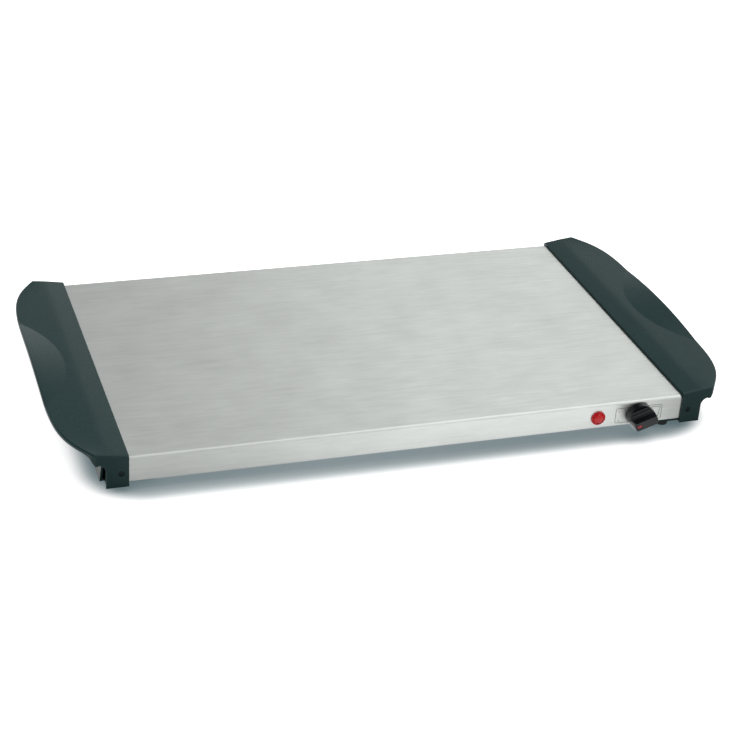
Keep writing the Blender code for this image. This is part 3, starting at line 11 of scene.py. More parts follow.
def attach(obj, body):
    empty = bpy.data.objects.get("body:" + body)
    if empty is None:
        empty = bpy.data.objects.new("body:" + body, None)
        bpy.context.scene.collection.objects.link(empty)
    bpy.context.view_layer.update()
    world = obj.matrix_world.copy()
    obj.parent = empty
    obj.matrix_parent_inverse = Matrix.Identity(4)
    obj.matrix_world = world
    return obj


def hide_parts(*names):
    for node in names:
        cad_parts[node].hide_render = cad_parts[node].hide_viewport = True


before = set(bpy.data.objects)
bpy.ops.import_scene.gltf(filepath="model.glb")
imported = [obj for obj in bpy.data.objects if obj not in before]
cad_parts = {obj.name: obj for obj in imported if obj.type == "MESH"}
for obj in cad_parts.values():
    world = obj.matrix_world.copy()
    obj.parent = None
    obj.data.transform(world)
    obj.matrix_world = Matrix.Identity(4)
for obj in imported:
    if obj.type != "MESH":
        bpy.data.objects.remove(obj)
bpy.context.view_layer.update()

# Sizes repeated from part.py
TRAY_LENGTH = 0.550
TRAY_DEPTH = 0.354
FLANGE_HEIGHT = 0.0256
SHEET = 0.0008
BEND_RADIUS = 0.0027
LOWER_BEND_RADIUS = 0.0011
LIP_WIDTH = 0.0120
TUCK = 0.0120
CLEARANCE = 0.0003
OVERRUN = 0.0020
HANDLE_PROUD = 0.0020
HANDLE_RISE = 0.0028
HANDLE_DROP = 0.0040
SKIN = 0.0024
CORNER_REACH = 0.0328
WING_REACH = 0.0610
CORNER_SWELL = 0.0305
SWELL_POWER = 1.22
STRIP_SLOPE = 0.165
CREASE_REACH = 0.0195
CREASE_SOFTNESS = 0.0030
WING_CLIMB = 0.0015
LIP_HEIGHT = 0.0033
LIP_CORNER_DROP = 0.0087
LIP_FADE = 0.0032
LIP_WALL = 0.0022
EDGE_ROUND = 0.0016
END_ROUND = 0.0028
INNER_EDGE = 0.0006
SCOOP_INNER = 0.0285
SCOOP_RADIUS = 0.1300
SCOOP_SLOPE = 0.140
PLATE_FOOT_REACH = 0.0210
COVE_RADIUS = 0.0075
COVE_TOP_DROP = 0.0045
WALL_REACH = 0.0245
WALL = 0.0022
NOTCH_TOP_DROP = 0.0100
BASE_WALL = 0.0023
BASE_INBOARD = 0.0270
BASE_SETBACK = 0.0080
BASE_SETBACK_LEFT = 0.0200
BASE_SETBACK_RIGHT = 0.0035
BOSS_INBOARD = 0.0030
BOSS_DEPTH = 0.0100
BOSS_TOP_DROP = 0.0035
BOSS_FOOT_DROP = 0.0215
RIB_WALL = 0.0020
RIB_DROP = 0.0080
RIB_PITCH = 0.0340
RIBS_PER_SIDE = 3
FINGER_SPAN = 0.1500
SCREW_RADIUS = 0.0015
SCREW_HEAD_RADIUS = 0.0026
SCREW_HEAD_HEIGHT = 0.0008
SCREW_RECESS_DEPTH = 0.0012
HANDLE_SCREW_REACH = 0.0070
HANDLE_SCREW_DROP = 0.0150
HANDLE_SCREW_LENGTH = 0.0090
COVER_HEAD_HEIGHT = 0.0014
COVER_SCREW_LENGTH = 0.0045
COVER_SCREW_BACK = 0.0070
FOOT_RADIUS = 0.0060
FOOT_TOP_RADIUS = 0.0064
FOOT_HEIGHT = 0.0057
FOOT_HOLLOW_RADIUS = 0.0030
FOOT_HOLLOW_DEPTH = 0.0018
FOOT_STEM_RADIUS = 0.0024
FOOT_BULB_RADIUS = 0.0032
FOOT_BULB_HEIGHT = 0.0010
FOOT_INBOARD = 0.0125
FOOT_BACK = 0.0160
FOOT_BACK_LEFT = 0.0300
FOOT_BACK_RIGHT = 0.0120
COVER_SHEET = 0.0006
BAR_INSET = 0.1600
CONTROL_INSET = 0.0460
CONTROL_DROP = 0.0145
KNOB_RADIUS = 0.0130
KNOB_TIP_RADIUS = 0.0123
KNOB_REACH = 0.0210
KNOB_STAND_OFF = 0.0008
KNOB_EDGE = 0.0022
KNOB_SKIRT = 0.0085
KNOB_WALL = 0.0017
KNOB_HOLLOW_DEPTH = 0.0070
HUB_RADIUS = 0.0045
GRIP_HALF_WIDTH = 0.0044
GRIP_SCOOP_RADIUS = 0.0055
KNOB_REST_ANGLE = 199.0
POINTER_WIDTH = 0.0024
POINTER_LENGTH = 0.0046
POINTER_DEPTH = 0.0008
SHAFT_RADIUS = 0.0030
SHAFT_IN_KNOB = 0.0110
BUSH_RADIUS = 0.0050
BUSH_REACH = 0.0032
LAMP_ASIDE = 0.0430
LENS_RADIUS = 0.0073
LENS_RIM = 0.0012
LENS_RISE = 0.0036
LENS_STEM_RADIUS = 0.0050
LENS_STEM_LENGTH = 0.0050
GLAND_INSET = 0.0500
GLAND_RADIUS = 0.0060
GLAND_BORE = 0.0036
GLAND_RIM_RADIUS = 0.0090
GLAND_RIM = 0.0016
GLAND_LENGTH = 0.0090

# Sizes that keep clear of the end plates' outlines, unlike those in part.py
NOTCH_TOP_BACK = 0.0045
NOTCH_FOOT_BACK = 0.0125
BOSS_REACH = 0.0203

# Sizes of the finer pieces
PLATE_ROUND = 0.0006
LIP_ROUND = 0.0005
STATION_STEP = 0.0030
FADE_STEP = 0.0012
FADE_SPAN = 0.0110
FIRST_COLUMN = 0.0015
LAST_FIXED_COLUMN = 0.0235
COLUMN_LEAST = 0.0002
WELD = 0.0000005
CREASE_WIDTH = 0.0005
PRINT_PROUD = 0.00004
PRINT_SUNK = 0.00010
PRINT_LINE = 0.00042
SLOT_WIDTH = 0.0007
SLOT_DEPTH = 0.0005
KNOB_BEVEL = 0.00035
KNOB_FOOT_ROUND = 0.0004
FOOT_TREAD = 0.0008
BOOLEAN_WELD = 0.000001

# The printed scale: places across from the tray's middle and down from its top, in that order
SCALE_BOX = ((0.2047, 0.0067), (0.2540, 0.0227))
SCALE_CORNER = 0.0015
SCALE_WEDGE = ((0.2425, 0.0088), (0.2522, 0.0088), (0.2506, 0.0205), (0.2425, 0.0088))
TICK_ENDS = (0.2400, 0.2414)
TICK_DROPS = (0.0105, 0.0135, 0.0165, 0.0195)
NUMBER_PLACES = ((0.2082, 0.0205), (0.2082, 0.0105), (0.2140, 0.0086), (0.2376, 0.0086))
NUMBER_SIZE = 0.0026

# Counts
BEND_STEPS = 10
END_ROUND_STEPS = 9
FIXED_COLUMNS = 18
RISING_COLUMNS = 7
SCOOP_COLUMNS = 8
EDGE_STEPS = 7
LIP_STEPS = 4
RIB_STEPS = 8
UNDER_EVERY = 3
COVE_STEPS = 16
PLATE_STEPS = 4
KNOB_SIDES = 96
ROUND_SIDES = 40
LENS_FACETS = 8
LENS_SIDES = LENS_FACETS * 5
SCREW_STEPS = 6
FOOT_STEPS = 5
KNOB_FOOT_STEPS = 4
KNOB_TIP_STEPS = 8
GLAND_STEPS = 6
PRINT_STEPS = 5
BEVEL_SEGMENTS = 3
FLOOR_SIDES = 64
NORMAL_WEIGHT = 80

# Shares of the named sizes above
END_FILL_SHARE = 0.6
JOIN_SHARE = 0.25
SCREW_SIDE_SHARE = 0.45
SCREW_DOME_SHARE = 0.55
CROSS_SHARE = 0.62
LENS_ROUND_SHARE = 0.35
LENS_CUT_SHARE = 0.3
LENS_MARGIN_SHARE = 0.6
LENS_GROOVE_SHARE = 2.4
CROWN_FOOT_SHARE = 2.8
# Rings of the lens's crown: shares of its radius and of its rise, and a turn in facets
CROWN_SHARES = ((0.89, 0.0, 0.0), (0.89, 0.30, 0.0), (0.70, 0.74, 0.5), (0.36, 0.97, 0.0))

# Angles in radians, and a right angle in degrees
HALF_TURN = math.pi
QUARTER_TURN = math.pi / 2
RIGHT_ANGLE = 90
FACING_FRONT = QUARTER_TURN
FACING_BACK = -QUARTER_TURN
CREASE_ANGLE = math.radians(38)
FACET_ANGLE = math.radians(8)

# Places worked out from the sizes
HALF_LENGTH = TRAY_LENGTH / 2
TRAY_TOP_Z = FLANGE_HEIGHT + HANDLE_DROP + CLEARANCE + FOOT_HEIGHT
FRONT_Y = -(TRAY_DEPTH + HANDLE_PROUD - KNOB_REACH) / 2
BACK_Y = FRONT_Y + TRAY_DEPTH
FLANGE_FOOT_Z = TRAY_TOP_Z - FLANGE_HEIGHT
COVER_FOOT_Z = FLANGE_FOOT_Z - CLEARANCE - COVER_SHEET
CONTROL_Z = TRAY_TOP_Z - CONTROL_DROP
CONTROL_PLACE = HALF_LENGTH - CONTROL_INSET
LAMP_PLACE = CONTROL_PLACE - LAMP_ASIDE
GLAND_PLACE = HALF_LENGTH - GLAND_INSET
BAR_PLACE = HALF_LENGTH - BAR_INSET
HANDLE_FOOT = -FLANGE_HEIGHT - HANDLE_DROP
HANDLE_INNER = TUCK + CLEARANCE
WALL_MIDDLE = WALL_REACH - WALL / 2
SCOOP_CENTRE = SCOOP_INNER + SCOOP_RADIUS
HOLE_RADIUS = SCREW_RADIUS + CLEARANCE
KNOB_ANGLE = math.radians(KNOB_REST_ANGLE)

# Where the light comes from, as azimuth and elevation, and how wide and strong the sun is
LIGHT_DIRECTION = (20.0, 55.0)
BOX_DIRECTION = (143.0, 58.0)
SUN_DIRECTION = (40.0, 62.0)
SUN_WIDTH = 40.0
SUN_STRENGTH = 0.5

# Fades in the surroundings: two limits, and the levels there where they aren't zero and one
BAND_FADE = (0.0, 0.5, 0.05, 0.50)
LOWER_FADE = (0.23, 0.60)
UPPER_FADE = (0.70, 0.92)
OVERHEAD_FADE = (0.0, 0.5, 0.30, 1.0)
LIGHT_FADE = (0.3, 0.95, 0.34, 1.30)
BOX_FADE = (0.84, 0.97)
BOX_LEVEL = 1.8

# The floor's sizes, and its fades by the distance from the tray's core or along X. Near the tray they paint
# shadow into the floor's colour and glow, on top of the shadow the lights cast, and paint what the metals
# reflect of the floor
FLOOR_RADIUS = 9.0
SHADOW_SIDE = 0.0240
SHADOW_START = 0.0420
SHADOW_END = 0.0790
PAINTED_SHADOW_FADE = (SHADOW_START, SHADOW_END)
FAR_FADE = (0.25, 0.5)
# Painted shade: the floor's colour near the tray, darker towards the right
PAINTED_SHADE_FADE = (-0.25, 0.20, 0.52, 0.30)
# Painted reflection: the glow that only reflections see near the tray, rising from the left, cut off beside
# the end plates, and at a set level left of the left handle
PAINTED_REFLECTION_FADE = (-0.27, 0.0, 0.40, 0.92)
LEFT_END_FADE = (-0.288, -0.262)
LEFT_SIDE_FADE = (-0.303, -0.297, 1.0, 0.0)
RIGHT_END_FADE = (0.24, 0.30, 1.0, 0.0)
LEFT_PAINTED_REFLECTION = 0.5
FAR_LEVEL = 0.8
FLOOR_LEVEL = 0.85
FLOOR_ROUGHNESS = 0.9
# Painted shadow: the floor's glow near the tray, turning white in the open
PAINTED_SHADOW_COLOUR = (0.10, 0.148, 0.162, 1.0)
OPEN_COLOUR = (0.80, 0.80, 0.80, 1.0)

# Patterns of the materials: streaks and mottle are so many times as long or wide as the fine grain
PATTERN_LOW = 0.3
PATTERN_HIGH = 0.7
STREAK_LENGTH = 3
STREAK_WIDTH = 5
STREAK_SHARE = 0.6
MOTTLE_WIDTH = 60
MOTTLE_SHARE = 0.25
WOOL_SHARE = 0.4
BROAD_FEATURES = 60.0
# Painted shade on the steel: its colour is scaled from darker at the left end to lighter towards the right,
# standing in for how the light falls across the tray
STEEL_PAINTED_SHADE = (-0.26, 0.12, 0.86, 1.03)

# Metals: colour, roughness, grain along and across in features per metre, and spread of the tone
METALS = {
    "galvanised_sheet": ((0.42, 0.43, 0.44), 0.42, 30.0, 160.0, 0.12),
    "zinc_screw": ((0.60, 0.60, 0.58), 0.28, 400.0, 900.0, 0.08),
    "aluminium_plate": ((0.72, 0.72, 0.74), 0.35, 25.0, 500.0, 0.05),
    "brass_turned": ((0.70, 0.50, 0.20), 0.28, 900.0, 120.0, 0.08),
    "brass_spring": ((0.72, 0.55, 0.26), 0.3, 60.0, 800.0, 0.06),
}
STEEL = ((0.53, 0.552, 0.535), 0.42, 80.0, 1300.0, 0.11, 0.80)

# Mouldings: colour, roughness, specular level, texture in features per metre and its depth
MOULDINGS = {
    "charcoal_plastic": ((0.005, 0.031, 0.031), 0.26, 0.21, 2600.0, 0.00002),
    "blackened_screw": ((0.004, 0.014, 0.015), 0.4, 0.18, 1800.0, 0.00002),
    "black_rubber": ((0.012, 0.012, 0.012), 0.8, 0.5, 1400.0, 0.00005),
    "silicone_cord": ((0.72, 0.66, 0.56), 0.5, 0.5, 1500.0, 0.00002),
    "black_knob_plastic": ((0.003, 0.005, 0.006), 0.20, 0.3, 3000.0, 0.00002),
    "red_inlay": ((0.45, 0.012, 0.025), 0.35, 0.5, 2200.0, 0.00002),
    "ceramic": ((0.80, 0.77, 0.70), 0.55, 0.5, 1100.0, 0.00004),
    "black_plastic": ((0.012, 0.013, 0.015), 0.4, 0.5, 2400.0, 0.00002),
    "fuse_body": ((0.72, 0.71, 0.66), 0.3, 0.5, 900.0, 0.00002),
    "lead_insulation": ((0.70, 0.70, 0.67), 0.45, 0.5, 1300.0, 0.00002),
}

# The CAD pieces that stay, by the material slot that dresses them
SLOT_NODES = {
    "galvanised_sheet": (
        "bottom_cover", "clamp_bar_left", "clamp_bar_right", "thermostat_frame", "gland_clip", "fuse_clip",
    ),
    "aluminium_plate": ("heat_spreader",),
    "silicone_cord": ("heating_cord",),
    "aluminium_foil": ("heater_foil",),
    "glass_fibre": ("insulation_blanket",),
    "brass_turned": ("thermostat_shaft", "thermostat_bush", "earth_stud"),
    "zinc_screw": ("thermostat_nut", "earth_nut"),
    "ceramic": ("stack_spacer_front", "stack_spacer_middle", "stack_spacer_back", "terminal_block"),
    "brass_spring": ("fixed_contact_blade", "bimetal_blade"),
    "black_plastic": ("pilot_lamp_holder",),
    "lamp_glass": ("pilot_lamp_bulb",),
    "fuse_body": ("thermal_fuse",),
    "lead_insulation": (
        "live_lead", "heater_lead", "return_lead", "fuse_lead", "lamp_lead_long", "lamp_lead_short",
    ),
}

# Camera, fitted to the corners of the steel in the photograph
CAMERA_PLACE = (-0.54287, -1.54102, 0.90188)
CAMERA_AZIMUTH = 19.577
CAMERA_ELEVATION = 28.724
CAMERA_ROLL = math.radians(3.935)
CAMERA_LENS = 89.14
CAMERA_SENSOR = 36.0
CAMERA_NEAR = 0.05
CAMERA_FAR = 40.0


# Shader nodes


def feed(tree, target, value):
    """Gives an input its value: a socket is linked, and a plain value is set."""
    if isinstance(value, bpy.types.NodeSocket):
        tree.links.new(value, target)
    else:
        target.default_value = value


def add_node(tree, kind, inputs=None, **settings):
    """A new shader node, with its settings and then its inputs by label or place."""
    node = tree.nodes.new(kind)
    for label, value in settings.items():
        setattr(node, label, value)
    for label, value in (inputs or {}).items():
        feed(tree, node.inputs[label], value)
    return node


def mapped(tree, value, low, high, first=0.0, last=1.0, ease="SMOOTHSTEP"):
    """A value taken from its first to its last level between two limits."""
    inputs = {"Value": value, "From Min": low, "From Max": high, "To Min": first, "To Max": last}
    return add_node(tree, "ShaderNodeMapRange", inputs, interpolation_type=ease).outputs["Result"]


def mixed(tree, factor, first, second, data_type="FLOAT", **settings):
    """One value faded into another; each is a socket or a plain value."""
    inputs = {"Factor": factor, "A": first, "B": second}
    return add_node(tree, "ShaderNodeMix", inputs, data_type=data_type, **settings).outputs["Result"]


def vector_math(tree, operation, first, second=(0.0, 0.0, 0.0), output="Vector"):
    """The outcome of one operation on vectors, as a socket."""
    node = add_node(tree, "ShaderNodeVectorMath", {0: first, 1: second}, operation=operation)
    return node.outputs[output]


def seen_directly(tree):
    """One for camera, glossy and transmission rays, and zero for the rays that light things."""
    rays = add_node(tree, "ShaderNodeLightPath").outputs
    seen = rays["Is Camera Ray"]
    for kind in ("Is Glossy Ray", "Is Transmission Ray"):
        node = add_node(tree, "ShaderNodeMath", {0: seen, 1: rays[kind]}, operation="MAXIMUM")
        seen = node.outputs["Value"]
    return seen


class Finish:
    """A material in the making: one Principled shader, and nodes that read the object's own coordinates."""

    def __init__(self, name, colour, roughness, metallic=0.0, **settings):
        self.material = bpy.data.materials.new(name)
        self.material.use_nodes = True
        self.tree = self.material.node_tree
        self.shader = self.tree.nodes["Principled BSDF"]
        self.place = add_node(self.tree, "ShaderNodeTexCoord").outputs["Object"]
        self.colour = colour
        self.roughness = roughness
        self.set(Base_Color=(*colour, 1.0), Roughness=roughness, Metallic=metallic, **settings)

    def set(self, **values):
        """Gives the shader's inputs their values, by label."""
        for label, value in values.items():
            feed(self.tree, self.shader.inputs[label.replace("_", " ")], value)

    def noise(self, scale, detail=3.0, distortion=0.0):
        """Noise with so many features per metre, alike or different along each axis."""
        if isinstance(scale, float):
            scale = (scale, scale, scale)
        mapping = add_node(self.tree, "ShaderNodeMapping", {"Vector": self.place, "Scale": scale})
        inputs = {"Vector": mapping.outputs["Vector"], "Scale": 1.0, "Detail": detail}
        inputs["Distortion"] = distortion
        return add_node(self.tree, "ShaderNodeTexNoise", inputs).outputs["Fac"]

    def along_x(self):
        """Where a point lies along X."""
        return add_node(self.tree, "ShaderNodeSeparateXYZ", {"Vector": self.place}).outputs["X"]

    def tone(self, pattern, spread):
        """Varies the colour from darker to lighter by a share of itself."""
        ramp = add_node(self.tree, "ShaderNodeValToRGB", {"Fac": pattern})
        ends = zip(ramp.color_ramp.elements, (PATTERN_LOW, PATTERN_HIGH), (1 - spread, 1 + spread))
        for element, place, factor in ends:
            element.position = place
            element.color = (*[min(part * factor, 1.0) for part in self.colour], 1.0)
        self.set(Base_Color=ramp.outputs["Color"])
        return self

    def gloss(self, pattern, spread):
        """Varies the roughness about its middle value."""
        fade = (PATTERN_LOW, PATTERN_HIGH, self.roughness - spread, self.roughness + spread)
        self.set(Roughness=mapped(self.tree, pattern, *fade, ease="LINEAR"))
        return self

    def bump(self, pattern, depth, strength):
        """Raises the surface by a depth in metres."""
        inputs = {"Height": pattern, "Distance": depth, "Strength": strength}
        self.set(Normal=add_node(self.tree, "ShaderNodeBump", inputs).outputs["Normal"])
        return self


# Materials


def brushed(name, colour, roughness, along, across, spread, anisotropic=0.0):
    """Sheet metal with its grain along X, broken up by streaks and a soft mottle."""
    finish = Finish(name, colour, roughness, metallic=1.0, Anisotropic=anisotropic)
    fine = finish.noise((along, across, across), detail=2.0)
    broad = finish.noise((along / STREAK_LENGTH, across / STREAK_WIDTH, across / STREAK_WIDTH))
    scale = (along / STREAK_LENGTH, across / MOTTLE_WIDTH, across / MOTTLE_WIDTH)
    mottle = finish.noise(scale, detail=2.0)
    grain = mixed(finish.tree, MOTTLE_SHARE, mixed(finish.tree, STREAK_SHARE, fine, broad), mottle)
    finish.tone(grain, spread).gloss(grain, spread=0.04)
    return finish.bump(fine, depth=0.000012, strength=0.5)


def moulded(name, colour, roughness, specular, grain, depth):
    """Moulded plastic with a fine even texture."""
    finish = Finish(name, colour, roughness, Specular_IOR_Level=specular)
    fine = finish.noise(grain, detail=2.0)
    broad = finish.noise(BROAD_FEATURES)
    return finish.tone(broad, spread=0.06).gloss(fine, spread=0.05).bump(fine, depth, strength=0.6)


def make_steel():
    """The tray's brushed steel: its grain follows the folded sheet, and painted shade darkens its colour
    towards the left.
    """
    steel = brushed("brushed_steel", *STEEL)
    tangent = add_node(steel.tree, "ShaderNodeTangent", direction_type="UV_MAP", uv_map="grain")
    colour = steel.shader.inputs["Base Color"].links[0].from_socket
    # Painted shade: the steel's colour is multiplied by a level that falls towards the left end
    level = mapped(steel.tree, steel.along_x(), *STEEL_PAINTED_SHADE)
    painted_shade_colour = mixed(steel.tree, 1.0, colour, level, data_type="RGBA", blend_type="MULTIPLY")
    steel.set(Tangent=tangent.outputs["Tangent"], Base_Color=painted_shade_colour)
    return steel


def make_foil():
    """Crumpled aluminium foil."""
    foil = Finish("aluminium_foil", (0.78, 0.78, 0.79), roughness=0.22, metallic=1.0)
    crumple = foil.noise(70.0, detail=4.0, distortion=1.2)
    foil.tone(crumple, spread=0.08).gloss(crumple, spread=0.06)
    return foil.bump(crumple, depth=0.0006, strength=0.8)


def make_fibre():
    """Matted glass fibre."""
    fibre = Finish("glass_fibre", (0.80, 0.77, 0.66), roughness=0.95, Sheen_Weight=0.4)
    strands = fibre.noise((900.0, 160.0, 900.0), detail=5.0, distortion=1.5)
    wool = mixed(fibre.tree, WOOL_SHARE, strands, fibre.noise(90.0))
    fibre.tone(wool, spread=0.16).gloss(wool, spread=0.03)
    return fibre.bump(wool, depth=0.0008, strength=1.0)


def make_lens_plastic():
    """Glossy red plastic, slightly cloudy in its depth."""
    settings = {"IOR": 1.49, "Specular_IOR_Level": 0.32}
    lens = Finish("red_lens", (0.80, 0.006, 0.012), roughness=0.05, **settings)
    cloud = lens.noise(160.0, detail=2.0)
    return lens.tone(cloud, spread=0.12).gloss(cloud, spread=0.02)


def make_glass():
    """The lamp's clear glass with a warm tint."""
    glass = Finish("lamp_glass", (0.95, 0.75, 0.6), roughness=0.05, Transmission_Weight=0.9)
    haze = glass.noise(300.0)
    return glass.tone(haze, spread=0.05).gloss(haze, spread=0.03)


def make_ink():
    """Dark grey print with slightly uneven cover."""
    ink = Finish("scale_print", (0.020, 0.021, 0.023), roughness=0.6, Specular_IOR_Level=0.2)
    cover = ink.noise(1600.0)
    return ink.tone(cover, spread=0.3).gloss(cover, spread=0.08)


def make_finishes():
    """Every material of the tray, by the record's slot name."""
    finishes = {slot: brushed(slot, *settings) for slot, settings in METALS.items()}
    finishes.update({slot: moulded(slot, *settings) for slot, settings in MOULDINGS.items()})
    finishes["stainless_sheet"] = make_steel()
    finishes["aluminium_foil"] = make_foil()
    finishes["glass_fibre"] = make_fibre()
    finishes["red_lens"] = make_lens_plastic()
    finishes["lamp_glass"] = make_glass()
    return finishes


FINISHES = make_finishes()


# Mesh helpers


def placed(name, data):
    """A new object with its data, in the scene."""
    made = bpy.data.objects.new(name, data)
    bpy.context.scene.collection.objects.link(made)
    return made


def mesh_of(shape, name="helper"):
    """A mesh out of a bmesh, with its faces turned outwards."""
    bmesh.ops.recalc_face_normals(shape, faces=shape.faces)
    mesh = bpy.data.meshes.new(name)
    shape.to_mesh(mesh)
    shape.free()
    return mesh


def piece(name, shape, slot, node, body="warmer", place=(0, 0, 0)):
    """Turns a bmesh into a visible piece that replaces a CAD node and rides on a body."""
    mesh = mesh_of(shape, name)
    made = placed(name, mesh)
    made.location = place
    mesh.materials.append(FINISHES[slot].material)
    mesh.shade_smooth()
    mesh.set_sharp_from_angle(angle=CREASE_ANGLE)
    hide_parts(node)
    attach(made, body)
    return made


def combined(shape, steps):
    """The bmesh after a row of Booleans: (operation, bmesh) pairs are applied in order."""
    base = placed("base", mesh_of(shape))
    helpers = [base]
    for operation, other in steps:
        helper = placed("helper", mesh_of(other))
        helpers.append(helper)
        modifier = base.modifiers.new(operation, "BOOLEAN")
        modifier.operation = operation
        modifier.solver = "EXACT"
        modifier.object = helper
    bpy.context.view_layer.update()
    evaluated = base.evaluated_get(bpy.context.evaluated_depsgraph_get())
    result = bmesh.new()
    result.from_mesh(evaluated.to_mesh())
    evaluated.to_mesh_clear()
    for helper in helpers:
        bpy.data.meshes.remove(helper.data)
    bmesh.ops.remove_doubles(result, verts=result.verts, dist=BOOLEAN_WELD)
    return result


def soften(made):
    """Rounds the piece's hard edges a little and keeps its flats flat."""
    bevel = made.modifiers.new("edges", "BEVEL")
    bevel.width = KNOB_BEVEL
    bevel.segments = BEVEL_SEGMENTS
    bevel.limit_method = "ANGLE"
    bevel.angle_limit = CREASE_ANGLE
    bevel.use_clamp_overlap = True
    weigh_normals(made)


def weigh_normals(made):
    """Weighs the normals by face area, so that a flat face stays flat up to its edge."""
    normals = made.modifiers.new("normals", "WEIGHTED_NORMAL")
    normals.keep_sharp = True
    normals.weight = NORMAL_WEIGHT


def add_box(shape, low, high):
    """A box between two corners."""
    low = Vector(low)
    high = Vector(high)
    scale = Matrix.Diagonal((*(high - low), 1.0))
    bmesh.ops.create_cube(shape, size=1.0, matrix=Matrix.Translation((low + high) / 2) @ scale)


def add_rod(shape, start, end, radius):
    """A round rod between two points."""
    start = Vector(start)
    end = Vector(end)
    along = end - start
    aim = Vector((0, 0, 1)).rotation_difference(along).to_matrix().to_4x4()
    place = Matrix.Translation((start + end) / 2) @ aim
    sizes = {"radius1": radius, "radius2": radius, "depth": along.length}
    bmesh.ops.create_cone(shape, cap_ends=True, segments=ROUND_SIDES, matrix=place, **sizes)


def add_hole(shape, place, axis, radius):
    """A rod through a thin wall at a place, along the axis with that number."""
    ends = []
    for overrun in (-OVERRUN, OVERRUN):
        end = list(place)
        end[axis] += overrun
        ends.append(end)
    add_rod(shape, *ends, radius)


def add_prism(shape, outline, axis, low, high):
    """A closed outline drawn across one axis and extruded along it."""
    order = {"X": (2, 0, 1), "Y": (0, 2, 1), "Z": (0, 1, 2)}[axis]
    ends = []
    for level in (low, high):
        ring = []
        for first, second in outline:
            values = (first, second, level)
            ring.append([values[index] for index in order])
        ends.append(ring)
    add_loft(shape, ends)


def add_loft(shape, rings):
    """Closed rings with as many points each, bridged in order and capped at both ends."""
    rows = [[shape.verts.new(point) for point in ring] for ring in rings]
    count = len(rows[0])
    for here, there in zip(rows, rows[1:]):
        for index in range(count):
            after = (index + 1) % count
            shape.faces.new((here[index], here[after], there[after], there[index]))
    shape.faces.new(rows[0])
    shape.faces.new(list(reversed(rows[-1])))


def turn(shape, angle, axis):
    """Turns a bmesh about an axis through its origin."""
    bmesh.ops.transform(shape, matrix=Matrix.Rotation(angle, 4, axis), verts=shape.verts)


def turned(profile, sides, tilt=0.0):
    """A solid made by turning a profile of (radius, height) points round +Z, then tilted about X."""
    shape = bmesh.new()
    rings = []
    for radius, height in profile:
        if radius > 0:
            rings.append([shape.verts.new((x, y, height)) for x, y in circle(radius, sides)])
        else:
            rings.append([shape.verts.new((0, 0, height))] * sides)
    if profile[0][0] > 0 and profile[-1][0] > 0:
        rings.append(rings[0])
    for here, there in zip(rings, rings[1:]):
        for index in range(sides):
            after = (index + 1) % sides
            corners = (here[index], here[after], there[after], there[index])
            shape.faces.new(list(dict.fromkeys(corners)))
    turn(shape, tilt, "X")
    return shape


def spaced(start, end, steps):
    """Even places from the start to the end, both included."""
    return [start + (end - start) * index / steps for index in range(steps + 1)]


def arc(centre, radius, start, end, steps):
    """Points of an arc between two angles."""
    across, height = centre
    points = []
    for angle in spaced(start, end, steps):
        points.append((across + radius * math.cos(angle), height + radius * math.sin(angle)))
    return points


def circle(radius, count, start=0.0):
    """Points all round a circle, from one angle on."""
    return arc((0.0, 0.0), radius, start, start + 2 * HALF_TURN, count)[:-1]


def rounded_path(corners, radii, steps):
    """An open path whose inner corners are arcs, each with its own radius."""
    path = [Vector(corners[0])]
    for before, corner, after, radius in zip(corners, corners[1:], corners[2:], radii):
        corner = Vector(corner)
        back = (Vector(before) - corner).normalized()
        ahead = (Vector(after) - corner).normalized()
        half = back.angle(ahead) / 2
        reach = radius / math.tan(half)
        centre = corner + (back + ahead).normalized() * radius / math.sin(half)
        start = corner + back * reach - centre
        end = corner + ahead * reach - centre
        for index in range(steps + 1):
            path.append(centre + start.slerp(end, index / steps).normalized() * radius)
    path.append(Vector(corners[-1]))
    return path


def sheet_sides(path, thickness):
    """Both sides of a bent sheet whose middle line is the path."""
    one_side = []
    other_side = []
    for index, point in enumerate(path):
        before = path[max(index - 1, 0)]
        after = path[min(index + 1, len(path) - 1)]
        along = (after - before).normalized()
        aside = Vector((-along.y, along.x)) * thickness / 2
        one_side.append(point + aside)
        other_side.append(point - aside)
    return one_side, other_side


def inset_outline(outline, amount):
    """The outline moved inwards by one amount all round, with mitred corners."""
    moved = []
    count = len(outline)
    for index, point in enumerate(outline):
        here = Vector(point)
        before = (here - Vector(outline[index - 1])).normalized()
        after = (Vector(outline[(index + 1) % count]) - here).normalized()
        first = Vector((-before.y, before.x))
        second = Vector((-after.y, after.x))
        moved.append(tuple(here + (first + second) * amount / (1 + first.dot(second))))
    return moved


# Steel tray


